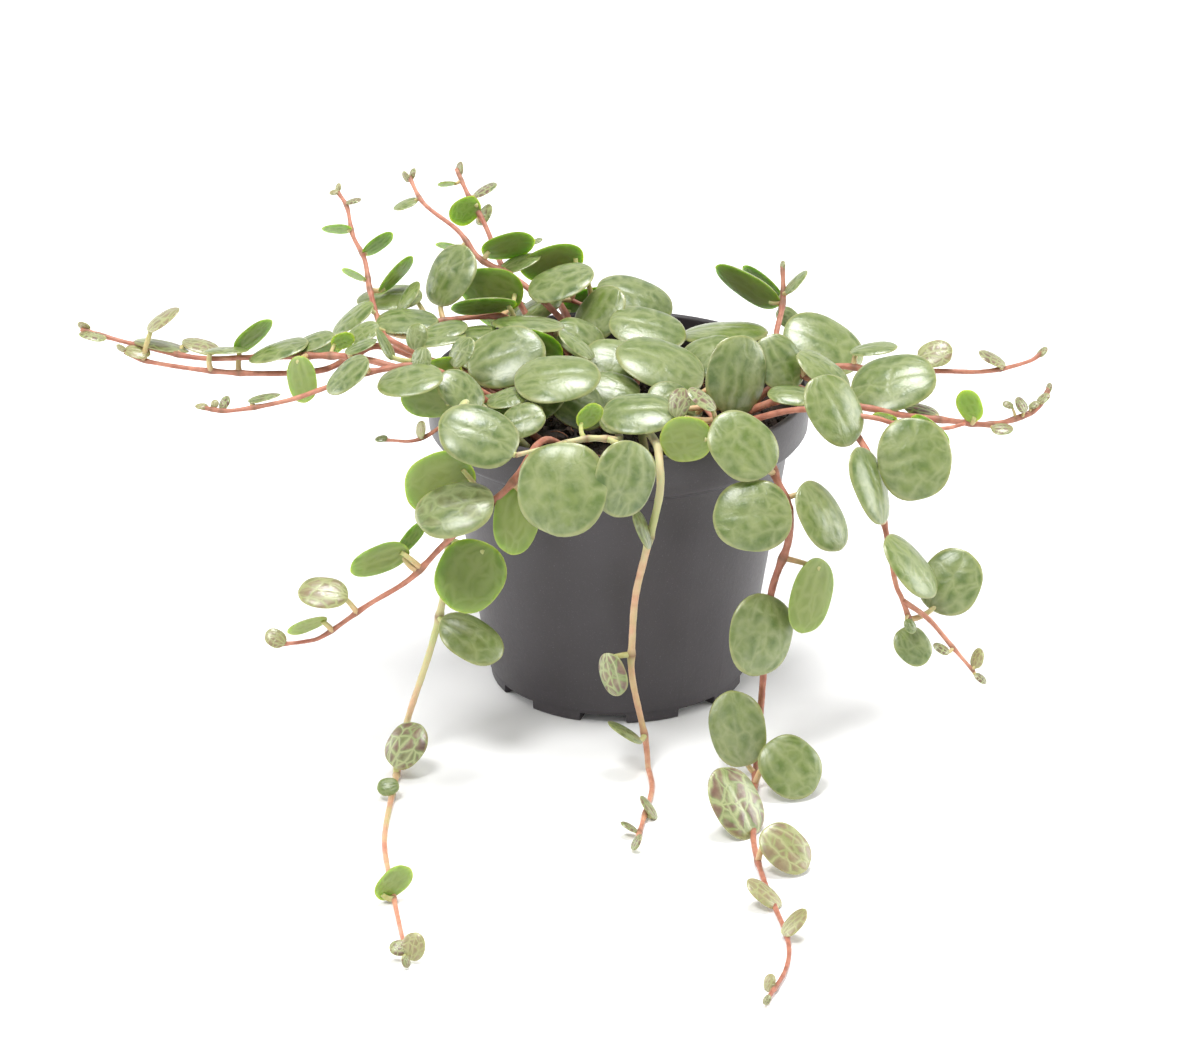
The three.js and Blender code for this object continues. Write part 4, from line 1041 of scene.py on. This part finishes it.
def build_soil_bed(dice, radius, paints):
    """One closed body: a lumpy top on the CAD soil's tapering sides."""
    rings, spokes = 26, 96
    low = POT_FLOOR + GAP
    points = [(0, 0, SOIL_TOP - SOIL_SINK)]
    for ring in range(1, rings + 1):
        height = SOIL_TOP - SOIL_SINK - SOIL_SAG * (ring / rings) ** 2
        heights = [height] * spokes
        if ring < rings:
            heights = [height + dice.uniform(-SOIL_LUMP, SOIL_LUMP) for _ in range(spokes)]
        points += ring_points(radius * ring / rings, heights)
    step = POT_HEIGHT - COLLAR_HEIGHT
    sides = [(radius, step + COLLAR_STEP), (BODY_TOP_RADIUS - WALL - GAP, step),
             (BASE_RADIUS - WALL - GAP, low)]
    for reach, height in sides:
        points += ring_points(reach, [height] * spokes)
    faces = [(0, 1 + spoke, 1 + (spoke + 1) % spokes) for spoke in range(spokes)]
    rows = grid_faces(rings + len(sides), spokes, 1)
    faces += [face[::-1] for face in rows]
    last = 1 + (rings + len(sides) - 1) * spokes
    faces.append(tuple(last + spoke for spoke in reversed(range(spokes))))
    bed = new_piece("soil_bed", points, faces, (paints["soil"],))
    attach(bed, "root")
    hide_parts("soil")


def build_crumbs(dice, radius, paints):
    """Loose crumbs of many sizes, pressed into the top of the soil."""
    corners = [(1, 0, 0), (-1, 0, 0), (0, 1, 0), (0, -1, 0), (0, 0, 1), (0, 0, -1)]
    sides = [(0, 2, 4), (2, 1, 4), (1, 3, 4), (3, 0, 4), (2, 0, 5), (1, 2, 5), (3, 1, 5), (0, 3, 5)]
    points, faces = [], []
    for _ in range(CRUMBS):
        reach = radius * math.sqrt(dice.random())
        angle = dice.uniform(0, math.tau)
        size = 0.16 + 0.75 * dice.random() ** 3
        middle = Vector((reach * math.cos(angle), reach * math.sin(angle),
                         SOIL_TOP - 0.45 - SOIL_SAG * (reach / radius) ** 2 + dice.uniform(0, 0.35)))
        turn = Matrix.Rotation(dice.uniform(0, math.tau), 3, Vector(
            (dice.uniform(-1, 1), dice.uniform(-1, 1), dice.uniform(-1, 1))).normalized())
        first = len(points)
        for corner in corners:
            stretch = size * dice.uniform(0.6, 1.2)
            points.append(middle + turn @ (Vector(corner) * stretch))
        faces += [tuple(first + corner for corner in side) for side in sides]
    crumbs = new_piece("soil_crumbs", points, faces, (paints["soil"],), smooth=False)
    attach(crumbs, "root")


def build_fibres(dice, radius, paints):
    """Short curled coir fibres lying on the soil."""
    points, faces = [], []
    for _ in range(FIBRES):
        reach = radius * math.sqrt(dice.random())
        angle = dice.uniform(0, math.tau)
        heading = dice.uniform(0, math.tau)
        curl = dice.uniform(-0.35, 0.35)
        place = Vector((reach * math.cos(angle), reach * math.sin(angle),
                        SOIL_TOP + dice.uniform(-0.3, 0.2)))
        route = []
        for index in range(9):
            route.append(place.copy())
            heading += curl
            place += Vector((math.cos(heading), math.sin(heading), 0)) * 0.55
            place.z += dice.uniform(-0.1, 0.13)
            outside = math.hypot(place.x, place.y) > radius + 1.2
            if outside:
                heading += math.pi / 2
        add_body(points, faces, sweep(route, [FIBRE_RADIUS] * len(route), 5))
    fibres = new_piece("soil_fibres", points, faces, (paints["fibre"],))
    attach(fibres, "root")


# ---- Stage ----
FLOOR_HALF = 4000
WORLD_FADE = (("From Min", 0.2), ("From Max", 0.75), ("To Min", 1.06), ("To Max", 0.45))


def build_stage(paints):
    corners = ((-1, -1), (1, -1), (1, 1), (-1, 1))
    points = [(x * FLOOR_HALF, y * FLOOR_HALF, 0) for x, y in corners]
    floor = new_piece("floor", points, [(0, 1, 2, 3)], (paints["floor"],), smooth=False)


def add_light(name, place, size, power):
    data = bpy.data.lights.new(name, "AREA")
    data.shape = "DISK"
    data.size = size
    data.energy = power
    light = bpy.data.objects.new(name, data)
    bpy.context.scene.collection.objects.link(light)
    light.location = place
    aim = Vector((0, 0, 0.03)) - Vector(place)
    light.rotation_euler = aim.to_track_quat("-Z", "Y").to_euler()


def build_lights():
    """Four soft lamps, in metres and watts, and plain display colours."""
    add_light("top", (0.1, 0.15, 1.1), 0.36, 9.0)
    add_light("key", (-0.25, -0.5, 1.0), 0.34, 6.5)
    add_light("left_side", (-1.0, 0.1, 0.35), 0.6, 4.0)
    add_light("right_side", (1.0, 0.1, 0.35), 0.6, 5.0)
    bpy.context.scene.view_settings.view_transform = "Standard"


def build_world():
    """White near the horizon, softer overhead."""
    world = bpy.data.worlds.new("studio")
    bpy.context.scene.world = world
    world.use_nodes = True
    tree = world.node_tree
    direction = tree.nodes.new("ShaderNodeTexCoord")
    split = tree.nodes.new("ShaderNodeSeparateXYZ")
    fade = tree.nodes.new("ShaderNodeMapRange")
    for name, value in WORLD_FADE:
        fade.inputs[name].default_value = value
    background = tree.nodes["Background"]
    background.inputs["Color"].default_value = (1, 1, 1, 1)
    tree.links.new(direction.outputs["Generated"], split.inputs[0])
    tree.links.new(split.outputs["Z"], fade.inputs["Value"])
    tree.links.new(fade.outputs["Result"], background.inputs["Strength"])


# ---- Everything ----
LEAF_SEED = 20


def main():
    build_camera()
    paints = {"upper": leaf_upper(), "under": leaf_under(), "stem": stem_skin(),
              "petiole": petiole_skin(), "pot": pot_plastic(), "soil": soil_mix(),
              "fibre": fibre_skin(), "floor": floor_paper()}
    build_pot(paints)
    build_soil(paints)
    dice = random.Random(LEAF_SEED)
    for shoot in SHOOTS + [BRANCH]:
        build_shoot(shoot, dice, paints)
    build_stage(paints)
    build_lights()
    build_world()


main()
